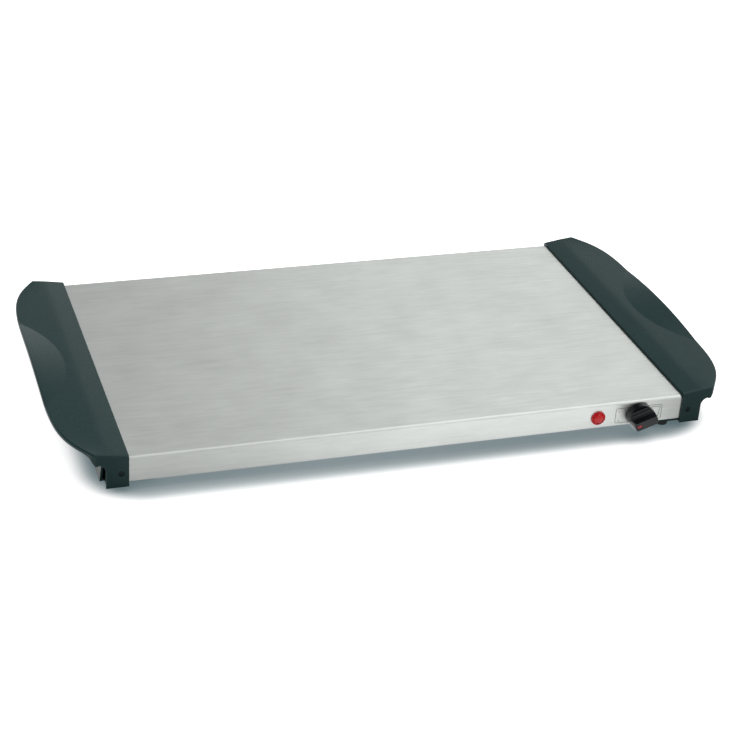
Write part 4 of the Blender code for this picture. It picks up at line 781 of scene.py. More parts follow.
def make_tray():
    """The folded sheet, with finely stepped bends and its grain's direction as UVs."""
    front = FRONT_Y + SHEET / 2
    back = BACK_Y - SHEET / 2
    top = TRAY_TOP_Z - SHEET / 2
    foot = FLANGE_FOOT_Z + SHEET / 2
    corners = [
        (FRONT_Y + LIP_WIDTH, foot),
        (front, foot),
        (front, top),
        (back, top),
        (back, foot),
        (BACK_Y - LIP_WIDTH, foot),
    ]
    upper = BEND_RADIUS - SHEET / 2
    lower = LOWER_BEND_RADIUS - SHEET / 2
    path = rounded_path(corners, (lower, upper, upper, lower), BEND_STEPS)
    lengths = [0.0]
    for before, point in zip(path, path[1:]):
        lengths.append(lengths[-1] + (point - before).length)
    end = HALF_LENGTH + TUCK
    shape = bmesh.new()
    grain = shape.loops.layers.uv.new("grain")
    rows = []
    along = {}
    for side in sheet_sides(path, SHEET):
        rows.append([[shape.verts.new((x, *point)) for x in (-end, end)] for point in side])
        for ends, length in zip(rows[-1], lengths):
            along.update({vertex: length for vertex in ends})
    faces = []
    for row in rows:
        faces += [(a[0], a[1], b[1], b[0]) for a, b in zip(row, row[1:])]
    upper_row, lower_row = rows
    for end in (0, 1):
        for a, b, c, d in zip(upper_row, upper_row[1:], lower_row[1:], lower_row):
            faces.append((a[end], b[end], c[end], d[end]))
    for a, b in ((upper_row[0], lower_row[0]), (upper_row[-1], lower_row[-1])):
        faces.append((a[0], a[1], b[1], b[0]))
    for corners in faces:
        for loop in shape.faces.new(corners).loops:
            loop[grain].uv = (along[loop.vert], loop.vert.co.x)

    holes = bmesh.new()
    for x, y, radius in (
        (CONTROL_PLACE, FRONT_Y, BUSH_RADIUS),
        (LAMP_PLACE, FRONT_Y, LENS_STEM_RADIUS),
        (GLAND_PLACE, BACK_Y, GLAND_RADIUS),
    ):
        add_hole(holes, (x, y, CONTROL_Z), 1, radius + CLEARANCE)
    for side in (-1, 1):
        x = side * (HALF_LENGTH + HANDLE_SCREW_REACH)
        for y in (FRONT_Y, BACK_Y):
            add_hole(holes, (x, y, TRAY_TOP_Z - HANDLE_SCREW_DROP), 1, HOLE_RADIUS)
        for y in (FRONT_Y + COVER_SCREW_BACK, BACK_Y - COVER_SCREW_BACK):
            add_hole(holes, (side * BAR_PLACE, y, FLANGE_FOOT_Z), 2, HOLE_RADIUS)
    shape = combined(shape, [("DIFFERENCE", holes)])
    weigh_normals(piece("steel_tray", shape, "stainless_sheet", "top_tray"))


# End handles, drawn for the right end: u runs outward from the tray's end, v back from the front
# flange and w up from the tray's top


def from_end(v):
    """How far a place lies from the nearer end face of the handle."""
    return min(v, TRAY_DEPTH - v) + HANDLE_PROUD


def end_drop(v):
    """How far the surface has rounded over towards the handle's end face."""
    short = min(max(END_ROUND - from_end(v), 0.0), END_ROUND)
    return END_ROUND - math.sqrt(END_ROUND**2 - short**2)


def wing_reach(v):
    """How far the wing stands out beyond the tray's end."""
    swell = math.exp(-((max(from_end(v), 0.0) / CORNER_SWELL) ** SWELL_POWER))
    return WING_REACH - (WING_REACH - CORNER_REACH) * swell - end_drop(v)


def wing_slope(v):
    """The wing's climb outward from the crease, so that its outer edge runs level."""
    return WING_CLIMB / (wing_reach(v) + end_drop(v) - CREASE_REACH)


def lip_height(v):
    """Height of the turned-down lip: low along the wing, tall where it meets an end plate."""
    return LIP_HEIGHT + LIP_CORNER_DROP * math.exp(-max(from_end(v), 0.0) / LIP_FADE)


def scoop_edge(v):
    """How far out the scoop's crease lies at a place along the handle."""
    aside = abs(v - TRAY_DEPTH / 2)
    if aside >= SCOOP_RADIUS:
        return SCOOP_CENTRE
    return SCOOP_CENTRE - math.sqrt(SCOOP_RADIUS**2 - aside**2)


def scoop_rise(u, v):
    """The crescent scoop turns up from its crease to the wing's outer edge."""
    inside = SCOOP_RADIUS - math.hypot(u - SCOOP_CENTRE, v - TRAY_DEPTH / 2)
    return SCOOP_SLOPE * max(inside, 0.0)


def wing_top(u, v):
    """Height of the handle's upper surface: sloping strip, soft crease, then the flatter wing."""
    past = u - CREASE_REACH
    ramp = (past + math.hypot(past, CREASE_SOFTNESS)) / 2
    bent = (wing_slope(v) - STRIP_SLOPE) * ramp
    return HANDLE_RISE + STRIP_SLOPE * u + bent + scoop_rise(u, v) - end_drop(v)


def beside_tray(v):
    """Whether a place lies in front of the front flange or behind the back one."""
    return from_end(v) < END_ROUND * END_FILL_SHARE


def skin_foot(u, v):
    """Height of the skin's underside: it hangs lower beside the flanges, to join the end plates."""
    fill = END_ROUND if beside_tray(v) else 0.0
    return wing_top(u, v) + end_drop(v) - fill - SKIN


def handle_stations():
    """Places along the handle where its section is drawn, close together at its rounded ends."""
    half = TRAY_DEPTH / 2
    end = half + HANDLE_PROUD
    angles = spaced(0.0, QUARTER_TURN, END_ROUND_STEPS)
    asides = [end - END_ROUND * (1 - math.cos(angle)) for angle in angles]
    for index in range(1, round(FADE_SPAN / FADE_STEP) + 1):
        asides.append(end - END_ROUND - index * FADE_STEP)
    steps = math.ceil(asides[-1] / STATION_STEP)
    asides += reversed(spaced(0.0, asides[-1], steps)[1:-1])
    return [half - aside for aside in asides] + [half] + [half + aside for aside in reversed(asides)]


def section_columns(v, climb_end):
    """Places across the handle's top at one station, drawn close round the scoop's crease."""
    most = climb_end - (SCOOP_COLUMNS + 2) * COLUMN_LEAST - CREASE_WIDTH
    crease = min(scoop_edge(v), most)
    columns = spaced(FIRST_COLUMN, LAST_FIXED_COLUMN, FIXED_COLUMNS - 1)
    columns += spaced(LAST_FIXED_COLUMN, crease - CREASE_WIDTH, RISING_COLUMNS)[1:]
    columns += [crease] + spaced(crease + CREASE_WIDTH, climb_end, SCOOP_COLUMNS)
    return columns


def handle_section(v):
    """The handle skin's closed section: top, rounded edge, turned-down lip and underside."""
    reach = wing_reach(v)
    climb_end = reach - EDGE_ROUND
    columns = section_columns(v, climb_end)
    strip_feet = [CLEARANCE, CLEARANCE]
    if beside_tray(v):
        strip_feet = [skin_foot(0.0, v), skin_foot(HANDLE_INNER, v)]
    tilt = math.atan(STRIP_SLOPE)
    edge_height = wing_top(0.0, v) + STRIP_SLOPE * INNER_EDGE - INNER_EDGE / math.cos(tilt)
    top = [(0.0, strip_feet[0])]
    top += arc((INNER_EDGE, edge_height), INNER_EDGE, HALF_TURN, QUARTER_TURN + tilt, PLATE_STEPS)
    top += [(u, wing_top(u, v)) for u in columns]
    edge_top = wing_top(climb_end, v)
    top += arc((climb_end, edge_top - EDGE_ROUND), EDGE_ROUND, QUARTER_TURN, 0.0, EDGE_STEPS)[1:]
    lip_foot = edge_top + end_drop(v) - lip_height(v) + LIP_ROUND
    lip_in = reach - LIP_WALL
    under = arc((reach - LIP_ROUND, lip_foot), LIP_ROUND, 0.0, -QUARTER_TURN, LIP_STEPS)
    under += arc((lip_in + LIP_ROUND, lip_foot), LIP_ROUND, -QUARTER_TURN, -HALF_TURN, LIP_STEPS)
    under += [(lip_in, skin_foot(lip_in, v))]
    sparse = columns[::UNDER_EVERY]
    inside_lip = [min(u, lip_in - COLUMN_LEAST) for u in reversed(sparse)]
    inside_lip = [u for u in inside_lip if u > HANDLE_INNER]
    inside_lip += inside_lip[-1:] * (len(sparse) - len(inside_lip))
    under += [(u, skin_foot(u, v)) for u in inside_lip + [HANDLE_INNER]]
    under += [(HANDLE_INNER, strip_feet[1])]
    return [(u, v, w) for u, w in top + under]


def end_plate_outline():
    """Front view of a handle end: square at the tray, with a cove up to the wing's lip."""
    inset = SKIN * JOIN_SHARE
    corner = wing_reach(-HANDLE_PROUD) - inset
    corner_top = wing_top(corner - EDGE_ROUND, -HANDLE_PROUD)
    cove_centre = (PLATE_FOOT_REACH + COVE_RADIUS, -COVE_TOP_DROP - COVE_RADIUS)
    outline = [(0.0, HANDLE_FOOT), (PLATE_FOOT_REACH, HANDLE_FOOT)]
    outline += arc(cove_centre, COVE_RADIUS, HALF_TURN, QUARTER_TURN, COVE_STEPS)
    outline += [(corner, -COVE_TOP_DROP), (corner, corner_top - EDGE_ROUND - inset)]
    outline += [(CREASE_REACH, wing_top(CREASE_REACH, -HANDLE_PROUD) - inset)]
    outline += [(0.0, wing_top(0.0, -HANDLE_PROUD) - inset)]
    return outline


def end_plate_rings(v, inward):
    """Rings of one end plate whose outer edges are rounded."""
    rings = []
    for angle in spaced(0.0, QUARTER_TURN, PLATE_STEPS):
        level = v + inward * PLATE_ROUND * (1 - math.cos(angle))
        outline = inset_outline(end_plate_outline(), PLATE_ROUND * (1 - math.sin(angle)))
        rings.append([(u, level, w) for u, w in outline])
    back = v + inward * (HANDLE_PROUD - CLEARANCE)
    rings.append([(u, back, w) for u, w in end_plate_outline()])
    return rings


def outer_wall_outline():
    """The outer wall seen from the side, cut back in a notch beside each end plate."""
    top = wing_top(WALL_REACH, TRAY_DEPTH / 2) - SKIN / 2
    front = [
        (NOTCH_TOP_BACK, top),
        (NOTCH_TOP_BACK, -NOTCH_TOP_DROP),
        (NOTCH_FOOT_BACK, HANDLE_FOOT),
    ]
    return front + [(TRAY_DEPTH - v, w) for v, w in reversed(front)]


def base_plate_outline(front_setback):
    """Plan of the base plate: it carries the feet inboard and meets both end plates."""
    ends = []
    for setback in (front_setback, BASE_SETBACK):
        ends.append([
            (-BASE_INBOARD, setback),
            (INNER_EDGE, setback),
            (INNER_EDGE, -CLEARANCE * 2),
            (PLATE_FOOT_REACH - WALL / 2, -CLEARANCE * 2),
            (PLATE_FOOT_REACH - WALL / 2, NOTCH_FOOT_BACK),
            (WALL_MIDDLE, NOTCH_FOOT_BACK + WALL / 2),
        ])
    return ends[0] + [(u, TRAY_DEPTH - v) for u, v in reversed(ends[1])]


def rib_outline(v):
    """Side view of one rib: it fills the corner between the outer wall, the skin and the lip."""
    lip_middle = wing_reach(v) - LIP_WALL / 2
    outline = [(WALL_MIDDLE, -RIB_DROP)]
    outline += [(lip_middle, wing_top(lip_middle, v) - (SKIN + LIP_HEIGHT) / 2)]
    for u in spaced(lip_middle, WALL_MIDDLE, RIB_STEPS):
        outline.append((u, wing_top(u, v) - SKIN / 2))
    return outline


def boss_outline(v_from, inward):
    """Plan of the block behind one end of the tray that takes the handle screw."""
    near = v_from + inward * (HANDLE_PROUD + SHEET + CLEARANCE)
    far = near + inward * BOSS_DEPTH
    plate_middle = v_from + inward * HANDLE_PROUD / 2
    return [
        (-BOSS_INBOARD, near),
        (HANDLE_INNER, near),
        (HANDLE_INNER, plate_middle),
        (BOSS_REACH, plate_middle),
        (BOSS_REACH, far),
        (-BOSS_INBOARD, far),
    ]


def handle_steps(front_setback, front_foot_back):
    """What is joined to the lofted wing and then cut from it, in order."""
    plates, wall, base, bosses, ribs = additions = [bmesh.new() for _ in range(5)]
    holes, recesses, foot_holes = cuts = [bmesh.new() for _ in range(3)]
    x = HANDLE_SCREW_REACH
    z = -HANDLE_SCREW_DROP
    for v, inward in ((-HANDLE_PROUD, 1), (TRAY_DEPTH + HANDLE_PROUD, -1)):
        add_loft(plates, end_plate_rings(v, inward))
        add_prism(bosses, boss_outline(v, inward), "Z", -BOSS_FOOT_DROP, -BOSS_TOP_DROP)
        outside = (x, v - inward * OVERRUN, z)
        hole_end = v + inward * (HANDLE_PROUD + HANDLE_SCREW_LENGTH + CLEARANCE)
        add_rod(holes, outside, (x, hole_end, z), HOLE_RADIUS)
        recess_end = (x, v + inward * SCREW_RECESS_DEPTH, z)
        add_rod(recesses, outside, recess_end, SCREW_HEAD_RADIUS + CLEARANCE)
    add_prism(wall, outer_wall_outline(), "X", WALL_REACH - WALL, WALL_REACH)
    outline = base_plate_outline(front_setback)
    add_prism(base, outline, "Z", HANDLE_FOOT, HANDLE_FOOT + BASE_WALL)
    for index in range(RIBS_PER_SIDE):
        aside = FINGER_SPAN / 2 + index * RIB_PITCH
        for v in (TRAY_DEPTH / 2 - aside, TRAY_DEPTH / 2 + aside):
            add_prism(ribs, rib_outline(v), "Y", v - RIB_WALL / 2, v + RIB_WALL / 2)
    for v in (front_foot_back, TRAY_DEPTH - FOOT_BACK):
        start = (-FOOT_INBOARD, v, HANDLE_FOOT - OVERRUN)
        end = (-FOOT_INBOARD, v, HANDLE_FOOT + BASE_WALL + OVERRUN)
        add_rod(foot_holes, start, end, FOOT_STEM_RADIUS + CLEARANCE)
    return [("UNION", shape) for shape in additions] + [("DIFFERENCE", shape) for shape in cuts]


def make_handle(name, side, front_setback, front_foot_back):
    """One end handle with its swept wing, rounded ends, turned-up scoop, ribs and screw recesses."""
    skin = bmesh.new()
    add_loft(skin, [handle_section(v) for v in handle_stations()])
    bmesh.ops.remove_doubles(skin, verts=skin.verts, dist=WELD)
    shape = combined(skin, handle_steps(front_setback, front_foot_back))
    mirror = Matrix.Diagonal((side, 1.0, 1.0, 1.0))
    bmesh.ops.transform(shape, matrix=mirror, verts=shape.verts)
    place = (side * HALF_LENGTH, FRONT_Y, TRAY_TOP_Z)
    weigh_normals(piece(f"moulded_{name}", shape, "charcoal_plastic", name, place=place))


# Screws and feet


def screw_shape(head_height, length):
    """A screw with a domed head and a cross cut in it; the head stands below zero height."""
    radius = SCREW_HEAD_RADIUS
    profile = []
    for angle in spaced(0.0, QUARTER_TURN, SCREW_STEPS):
        share = SCREW_SIDE_SHARE + SCREW_DOME_SHARE * math.cos(angle)
        profile.append((radius * math.sin(angle), -head_height * share))
    profile += [
        (radius, 0.0),
        (SCREW_RADIUS, 0.0),
        (SCREW_RADIUS, length - SCREW_RADIUS / 2),
        (SCREW_RADIUS / 2, length),
        (0.0, length),
    ]
    steps = []
    reach = radius * CROSS_SHARE
    half = SLOT_WIDTH / 2
    for x, y in ((reach, half), (half, reach)):
        slot = bmesh.new()
        add_box(slot, (-x, -y, -head_height - OVERRUN), (x, y, -head_height + SLOT_DEPTH))
        steps.append(("DIFFERENCE", slot))
    return combined(turned(profile, ROUND_SIDES), steps)


def make_screws():
    """Handle screws in their recesses and cover screws below, each with a cross in its head."""
    seat = HANDLE_PROUD - SCREW_RECESS_DEPTH + CLEARANCE
    screw_z = TRAY_TOP_Z - HANDLE_SCREW_DROP
    handle_screw = screw_shape(SCREW_HEAD_HEIGHT, seat + HANDLE_SCREW_LENGTH)
    cover_screw = screw_shape(COVER_HEAD_HEIGHT, COVER_SCREW_LENGTH)
    for side, side_name in ((-1, "left"), (1, "right")):
        for end_name, y, inward, tilt in (
            ("front", FRONT_Y, 1, FACING_BACK),
            ("back", BACK_Y, -1, FACING_FRONT),
        ):
            shape = handle_screw.copy()
            turn(shape, tilt, "X")
            place = (side * (HALF_LENGTH + HANDLE_SCREW_REACH), y - inward * seat, screw_z)
            node = f"handle_screw_{end_name}_{side_name}"
            piece(f"driven_{node}", shape, "blackened_screw", node, place=place)
            place = (side * BAR_PLACE, y + inward * COVER_SCREW_BACK, COVER_FOOT_Z - CLEARANCE)
            node = f"cover_screw_{end_name}_{side_name}"
            piece(f"driven_{node}", cover_screw.copy(), "zinc_screw", node, place=place)
    handle_screw.free()
    cover_screw.free()


def make_feet():
    """Four rubber feet with rounded treads."""
    stem = FOOT_HEIGHT + CLEARANCE + BASE_WALL + CLEARANCE
    foot_centre = (FOOT_RADIUS - FOOT_TREAD, FOOT_TREAD)
    top_centre = (FOOT_TOP_RADIUS - FOOT_TREAD, FOOT_HEIGHT - FOOT_TREAD)
    profile = [
        (0.0, FOOT_HOLLOW_DEPTH),
        (FOOT_HOLLOW_RADIUS, FOOT_HOLLOW_DEPTH),
        (FOOT_HOLLOW_RADIUS, FOOT_TREAD / 2),
        (FOOT_HOLLOW_RADIUS + FOOT_TREAD / 2, 0.0),
    ]
    profile += arc(foot_centre, FOOT_TREAD, -QUARTER_TURN, 0.0, FOOT_STEPS)
    profile += arc(top_centre, FOOT_TREAD, 0.0, QUARTER_TURN, FOOT_STEPS)
    profile += [
        (FOOT_STEM_RADIUS, FOOT_HEIGHT),
        (FOOT_STEM_RADIUS, stem),
        (FOOT_BULB_RADIUS, stem),
        (FOOT_STEM_RADIUS, stem + FOOT_BULB_HEIGHT),
        (0.0, stem + FOOT_BULB_HEIGHT),
    ]
    for side, side_name, back in ((-1, "left", FOOT_BACK_LEFT), (1, "right", FOOT_BACK_RIGHT)):
        for y, end_name in ((FRONT_Y + back, "front"), (BACK_Y - FOOT_BACK, "back")):
            node = f"foot_{end_name}_{side_name}"
            place = (side * (HALF_LENGTH - FOOT_INBOARD), y, 0.0)
            piece(f"rubber_{node}", turned(profile, ROUND_SIDES), "black_rubber", node, place=place)


# Knob, its scale, and the pilot lamp


def knob_profile():
    """The knob before its grip is cut: a slightly tapered barrel, hollow behind, round a hub."""
    skirt_in = KNOB_RADIUS - KNOB_WALL
    hub_back = BUSH_REACH + CLEARANCE * 2
    bore = SHAFT_RADIUS + CLEARANCE
    bore_end = BUSH_REACH + SHAFT_IN_KNOB + CLEARANCE
    profile = [
        (0.0, bore_end),
        (bore, bore_end),
        (bore, hub_back),
        (HUB_RADIUS, hub_back),
        (HUB_RADIUS, KNOB_HOLLOW_DEPTH),
        (skirt_in, KNOB_HOLLOW_DEPTH),
        (skirt_in, KNOB_STAND_OFF),
    ]
    foot_centre = (KNOB_RADIUS - KNOB_FOOT_ROUND, KNOB_STAND_OFF + KNOB_FOOT_ROUND)
    profile += arc(foot_centre, KNOB_FOOT_ROUND, -QUARTER_TURN, 0.0, KNOB_FOOT_STEPS)
    profile += [(KNOB_RADIUS, KNOB_SKIRT)]
    tip_centre = (KNOB_TIP_RADIUS - KNOB_EDGE, KNOB_REACH - KNOB_EDGE)
    profile += arc(tip_centre, KNOB_EDGE, 0.0, QUARTER_TURN, KNOB_TIP_STEPS)
    return profile + [(0.0, KNOB_REACH)]


def grip_scoop_outline(side):
    """End view of the space cut beside the grip: a straight flank running out in a cove."""
    cove_centre = (GRIP_HALF_WIDTH + GRIP_SCOOP_RADIUS, KNOB_SKIRT + GRIP_SCOOP_RADIUS)
    far = KNOB_RADIUS + OVERRUN
    above = KNOB_REACH + OVERRUN
    outline = [(far, above), (GRIP_HALF_WIDTH, above)]
    outline += arc(cove_centre, GRIP_SCOOP_RADIUS, HALF_TURN, 3 * QUARTER_TURN, COVE_STEPS)
    outline += [(far, KNOB_SKIRT)]
    return [(side * across, height) for across, height in outline]


def pointer_box(grown, front_y, back_y):
    """The pointer's place in the end of the grip, turned to where it rests."""
    shape = bmesh.new()
    tip = KNOB_TIP_RADIUS - KNOB_EDGE
    half = POINTER_WIDTH / 2 + grown
    add_box(shape, (tip - POINTER_LENGTH - grown, front_y, -half), (tip + grown, back_y, half))
    turn(shape, -KNOB_ANGLE, "Y")
    return shape


def make_knob():
    """The knob with its grip between two scoops, and its red pointer."""
    place = (CONTROL_PLACE, FRONT_Y, CONTROL_Z)
    scoops = bmesh.new()
    for side in (-1, 1):
        add_prism(scoops, grip_scoop_outline(side), "X", -2 * KNOB_RADIUS, 2 * KNOB_RADIUS)
    turn(scoops, FACING_FRONT, "X")
    turn(scoops, -KNOB_ANGLE, "Y")
    well = pointer_box(CLEARANCE, -KNOB_REACH - OVERRUN, -KNOB_REACH + POINTER_DEPTH + CLEARANCE)
    barrel = turned(knob_profile(), KNOB_SIDES, FACING_FRONT)
    shape = combined(barrel, [("DIFFERENCE", scoops), ("DIFFERENCE", well)])
    soften(piece("grip_knob", shape, "black_knob_plastic", "control_knob", "knob", place))
    shape = pointer_box(0.0, -KNOB_REACH, -KNOB_REACH + POINTER_DEPTH)
    soften(piece("red_pointer", shape, "red_inlay", "knob_pointer", "knob", place))


def make_lamp_lens():
    """The red lens: a rounded rim, and in it a dome cut into kite-shaped facets."""
    rim_top = CLEARANCE + LENS_RIM
    rim = LENS_RIM * LENS_ROUND_SHARE
    cut = rim * LENS_CUT_SHARE
    dome = LENS_RADIUS - LENS_RIM * LENS_MARGIN_SHARE
    steps = (
        (LENS_STEM_RADIUS, -LENS_STEM_LENGTH),
        (LENS_STEM_RADIUS, CLEARANCE),
        (LENS_RADIUS, CLEARANCE),
        (LENS_RADIUS, rim_top - rim),
        (LENS_RADIUS - cut, rim_top - cut),
        (LENS_RADIUS - rim, rim_top),
        (dome, rim_top),
        (dome, rim_top - LENS_GROOVE_SHARE * rim),
    )
    rings = []
    for radius, height in steps:
        rings.append([(x, -height, z) for x, z in circle(radius, LENS_SIDES)])
    shape = bmesh.new()
    add_loft(shape, rings)

    crown = bmesh.new()
    foot = rim_top - CROWN_FOOT_SHARE * rim
    rise = LENS_RISE + CLEARANCE - foot
    rings = []
    for reach, share, start in CROWN_SHARES:
        y = -foot - rise * share
        points = circle(dome * reach, LENS_FACETS, start * 2 * HALF_TURN / LENS_FACETS)
        rings.append([crown.verts.new((x, y, z)) for x, z in points])
    base, girdle, shoulder, crest = rings
    middle = crown.verts.new((0, -foot - rise, 0))
    bottom = crown.verts.new((0, -foot, 0))
    for here in range(LENS_FACETS):
        after = (here + 1) % LENS_FACETS
        for corners in (
            (bottom, base[after], base[here]),
            (base[here], base[after], girdle[after], girdle[here]),
            (girdle[here], girdle[after], shoulder[here]),
            (shoulder[here], girdle[after], shoulder[after]),
            (crest[here], shoulder[here], crest[after]),
            (shoulder[here], shoulder[after], crest[after]),
            (crest[here], crest[after], middle),
        ):
            crown.faces.new(corners)
    shape = combined(shape, [("UNION", crown)])
    place = (LAMP_PLACE, FRONT_Y, CONTROL_Z)
    lens = piece("faceted_lens", shape, "red_lens", "pilot_lamp_lens", place=place)
    lens.data.set_sharp_from_angle(angle=FACET_ANGLE)


def add_strokes(shape, points, front, depth):
    """Thin lines of print between points given as (x, drop below the steel's top)."""
    path = [Vector((x, TRAY_TOP_Z - drop)) for x, drop in points]
    for start, end in zip(path, path[1:]):
        along = (end - start).normalized()
        aside = Vector((-along.y, along.x)) * PRINT_LINE / 2
        tail = along * PRINT_LINE / 4
        before = start - tail
        after = end + tail
        corners = [before - aside, after - aside, after + aside, before + aside]
        add_prism(shape, [tuple(corner) for corner in corners], "Y", front, front + depth)


def scale_box():
    """The outline of the scale's box, with its rounded corners."""
    (left, high), (right, low) = SCALE_BOX
    outline = []
    for start, x, aside, drop, down in (
        (HALF_TURN, left, 1, high, 1),
        (HALF_TURN + QUARTER_TURN, right, -1, high, 1),
        (0.0, right, -1, low, -1),
        (QUARTER_TURN, left, 1, low, -1),
    ):
        centre = (x + aside * SCALE_CORNER, drop + down * SCALE_CORNER)
        outline += arc(centre, SCALE_CORNER, start, start + QUARTER_TURN, PRINT_STEPS)
    return outline


def make_scale():
    """A generic printed scale round the knob: a thin box, a widening wedge, ticks and numbers."""
    ink = make_ink().material
    front = FRONT_Y - PRINT_PROUD
    depth = PRINT_PROUD + PRINT_SUNK
    shape = bmesh.new()
    box = scale_box()
    for points in (box + box[:2], SCALE_WEDGE):
        add_strokes(shape, points, front, depth)
    for drop in TICK_DROPS:
        add_strokes(shape, [(x, drop) for x in TICK_ENDS], front, depth)
    made = placed("scale_print", mesh_of(shape))
    made.data.materials.append(ink)
    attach(made, "warmer")
    upright = Matrix.Rotation(QUARTER_TURN, 4, "X")
    for index, (x, drop) in enumerate(NUMBER_PLACES):
        curve = bpy.data.curves.new(f"number_{index}", "FONT")
        curve.body = str(index)
        curve.size = NUMBER_SIZE
        curve.align_x = "CENTER"
        curve.align_y = "CENTER"
        curve.extrude = depth / 2
        curve.materials.append(ink)
        number = placed(f"number_{index}", curve)
        place = (x, front + depth / 2, TRAY_TOP_Z - drop)
        number.matrix_world = Matrix.Translation(place) @ upright
        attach(number, "warmer")


def make_gland():
    """The gland in the back flange, with a rounded rim."""
    rim = CLEARANCE + GLAND_RIM
    round_centre = (GLAND_RIM_RADIUS - GLAND_RIM / 2, CLEARANCE + GLAND_RIM / 2)
    profile = [
        (GLAND_BORE, -GLAND_LENGTH),
        (GLAND_RADIUS, -GLAND_LENGTH),
        (GLAND_RADIUS, CLEARANCE),
        (GLAND_RIM_RADIUS, CLEARANCE),
    ]
    profile += arc(round_centre, GLAND_RIM / 2, 0.0, QUARTER_TURN, GLAND_STEPS)
    profile += [(GLAND_BORE + GLAND_RIM / 4, rim), (GLAND_BORE, rim - GLAND_RIM / 4)]
    shape = turned(profile, ROUND_SIDES, FACING_BACK)
    piece("rimmed_gland", shape, "black_plastic", "cord_gland", place=(GLAND_PLACE, BACK_Y, CONTROL_Z))


def dress_nodes():
    """Gives each CAD piece that stays its procedural material."""
    for slot, names in SLOT_NODES.items():
        for name in names:
            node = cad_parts[name]
            materials = node.data.materials
            if not materials:
                materials.append(None)
            for index in range(len(materials)):
                materials[index] = FINISHES[slot].material


# Stage


def make_floor():
    """A large pale floor: open it is white to the camera; near the tray it keeps the shadow the lights
    cast, deepened by painted shadow, and metals see a painted reflection in it.
    """
    shape = bmesh.new()
    bmesh.ops.create_circle(shape, cap_ends=True, segments=FLOOR_SIDES, radius=FLOOR_RADIUS)
    floor = placed("floor", mesh_of(shape))
    finish = Finish("floor", OPEN_COLOUR[:3], FLOOR_ROUGHNESS, Specular_IOR_Level=0.0)
    tree = finish.tree
    middle = (0.0, FRONT_Y + TRAY_DEPTH / 2, 0.0)
    core = (HALF_LENGTH - SHADOW_SIDE, TRAY_DEPTH / 2 - SHADOW_START, 0.0)
    aside = vector_math(tree, "ABSOLUTE", vector_math(tree, "SUBTRACT", finish.place, middle))
    outside = vector_math(tree, "MAXIMUM", vector_math(tree, "SUBTRACT", aside, core))
    distance = vector_math(tree, "LENGTH", outside, output="Value")
    # Painted shadow: near the tray the glow the camera sees falls to a dark bluish colour, and further out
    # it turns white
    spread = mapped(tree, distance, *PAINTED_SHADOW_FADE)
    painted_shadow_glow = add_node(tree, "ShaderNodeValToRGB", {"Fac": spread})
    painted_shadow_glow.color_ramp.interpolation = "EASE"
    for element, colour in zip(painted_shadow_glow.color_ramp.elements, (PAINTED_SHADOW_COLOUR, OPEN_COLOUR)):
        element.color = colour

    # Painted reflection: the glow that glossy and transmission rays see near the tray rises from left to
    # right, is cut off beside the end plates, and turns to a plain level further out
    x = finish.along_x()
    near = mixed(tree, mapped(tree, x, *RIGHT_END_FADE), 0.0, mapped(tree, x, *PAINTED_REFLECTION_FADE))
    near = mixed(tree, mapped(tree, x, *LEFT_END_FADE), 0.0, near)
    near = mixed(tree, mapped(tree, x, *LEFT_SIDE_FADE), near, LEFT_PAINTED_REFLECTION)
    painted_reflection_glow = mixed(tree, mapped(tree, distance, *FAR_FADE), near, FAR_LEVEL)
    camera_ray = add_node(tree, "ShaderNodeLightPath").outputs["Is Camera Ray"]
    # Painted shade in the floor's colour near the tray, painted shadow in the glow the camera sees, and
    # painted reflection in the glow other rays see
    finish.set(
        Base_Color=mixed(tree, spread, mapped(tree, x, *PAINTED_SHADE_FADE), FLOOR_LEVEL),
        Emission_Color=mixed(tree, camera_ray, painted_reflection_glow, painted_shadow_glow.outputs["Color"], data_type="RGBA"),
        Emission_Strength=seen_directly(tree),
    )
    back = add_node(tree, "ShaderNodeNewGeometry").outputs["Backfacing"]
    through = add_node(tree, "ShaderNodeBsdfTransparent").outputs["BSDF"]
    shaders = {"Fac": back, 1: finish.shader.outputs["BSDF"], 2: through}
    surface = add_node(tree, "ShaderNodeMixShader", shaders)
    feed(tree, tree.nodes["Material Output"].inputs["Surface"], surface.outputs["Shader"])
    floor.data.materials.append(finish.material)


def facing(tree, place, direction):
    """How nearly a direction points at one given by its azimuth and elevation: one when straight at it."""
    return vector_math(tree, "DOT_PRODUCT", place, direction_of(*direction), output="Value")


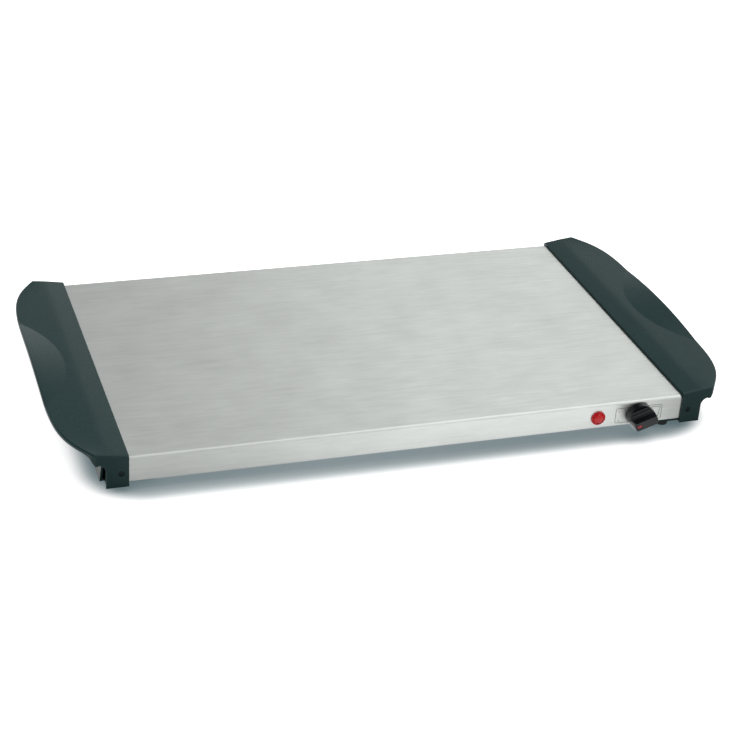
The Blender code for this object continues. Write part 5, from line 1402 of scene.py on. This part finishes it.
def make_world():
    """A studio white at its foot, greyer above and bright overhead, with a soft box in front."""
    world = bpy.data.worlds.new("studio")
    bpy.context.scene.world = world
    world.use_nodes = True
    tree = world.node_tree
    place = add_node(tree, "ShaderNodeTexCoord").outputs["Generated"]
    parts = add_node(tree, "ShaderNodeSeparateXYZ", {"Vector": place}).outputs
    band = mapped(tree, parts["X"], *BAND_FADE)
    overhead = mapped(tree, parts["X"], *OVERHEAD_FADE)
    lower = mixed(tree, mapped(tree, parts["Z"], *LOWER_FADE), 1.0, band)
    shown = mixed(tree, mapped(tree, parts["Z"], *UPPER_FADE), lower, overhead)
    light = mapped(tree, facing(tree, place, LIGHT_DIRECTION), *LIGHT_FADE)
    box = mapped(tree, facing(tree, place, BOX_DIRECTION), *BOX_FADE)
    shown = mixed(tree, box, shown, BOX_LEVEL)
    strength = mixed(tree, seen_directly(tree), light, shown)
    camera_ray = add_node(tree, "ShaderNodeLightPath").outputs["Is Camera Ray"]
    background = tree.nodes["Background"].inputs
    feed(tree, background["Strength"], mixed(tree, camera_ray, strength, 1.0))
    background["Color"].default_value = (1.0, 1.0, 1.0, 1.0)


def direction_of(azimuth, elevation):
    """Unit vector from angles in degrees. Azimuth runs from the back (+Y) towards the right (+X)."""
    a, e = math.radians(azimuth), math.radians(elevation)
    return Vector((math.sin(a) * math.cos(e), math.cos(a) * math.cos(e), math.sin(e)))


def make_sun():
    """A wide soft sun, aimed at the tray from where it stands."""
    light = bpy.data.lights.new("key_light", "SUN")
    light.energy = SUN_STRENGTH
    light.angle = math.radians(SUN_WIDTH)
    sun = placed("key_light", light)
    sun.rotation_mode = "QUATERNION"
    sun.rotation_quaternion = direction_of(*SUN_DIRECTION).to_track_quat("Z", "Y")


def make_camera():
    """The photograph's camera."""
    ahead = direction_of(CAMERA_AZIMUTH, -CAMERA_ELEVATION)
    right = direction_of(CAMERA_AZIMUTH + RIGHT_ANGLE, 0)
    up = right.cross(ahead)
    across = right * math.cos(CAMERA_ROLL) + up * math.sin(CAMERA_ROLL)
    upward = up * math.cos(CAMERA_ROLL) - right * math.sin(CAMERA_ROLL)
    aim = Matrix((across, upward, -ahead)).transposed()
    data = bpy.data.cameras.new("camera")
    data.lens = CAMERA_LENS
    data.sensor_width = CAMERA_SENSOR
    data.clip_start = CAMERA_NEAR
    data.clip_end = CAMERA_FAR
    camera = placed("camera", data)
    camera.matrix_world = Matrix.Translation(CAMERA_PLACE) @ aim.to_4x4()
    bpy.context.scene.camera = camera


def main():
    """Dresses the tray and sets the stage."""
    bpy.context.scene.view_settings.view_transform = "Standard"
    make_camera()
    make_floor()
    make_world()
    make_sun()
    make_tray()
    make_handle("left_end_handle", -1, BASE_SETBACK_LEFT, FOOT_BACK_LEFT)
    make_handle("right_end_handle", 1, BASE_SETBACK_RIGHT, FOOT_BACK_RIGHT)
    make_screws()
    make_feet()
    make_knob()
    make_lamp_lens()
    make_scale()
    make_gland()
    dress_nodes()


main()
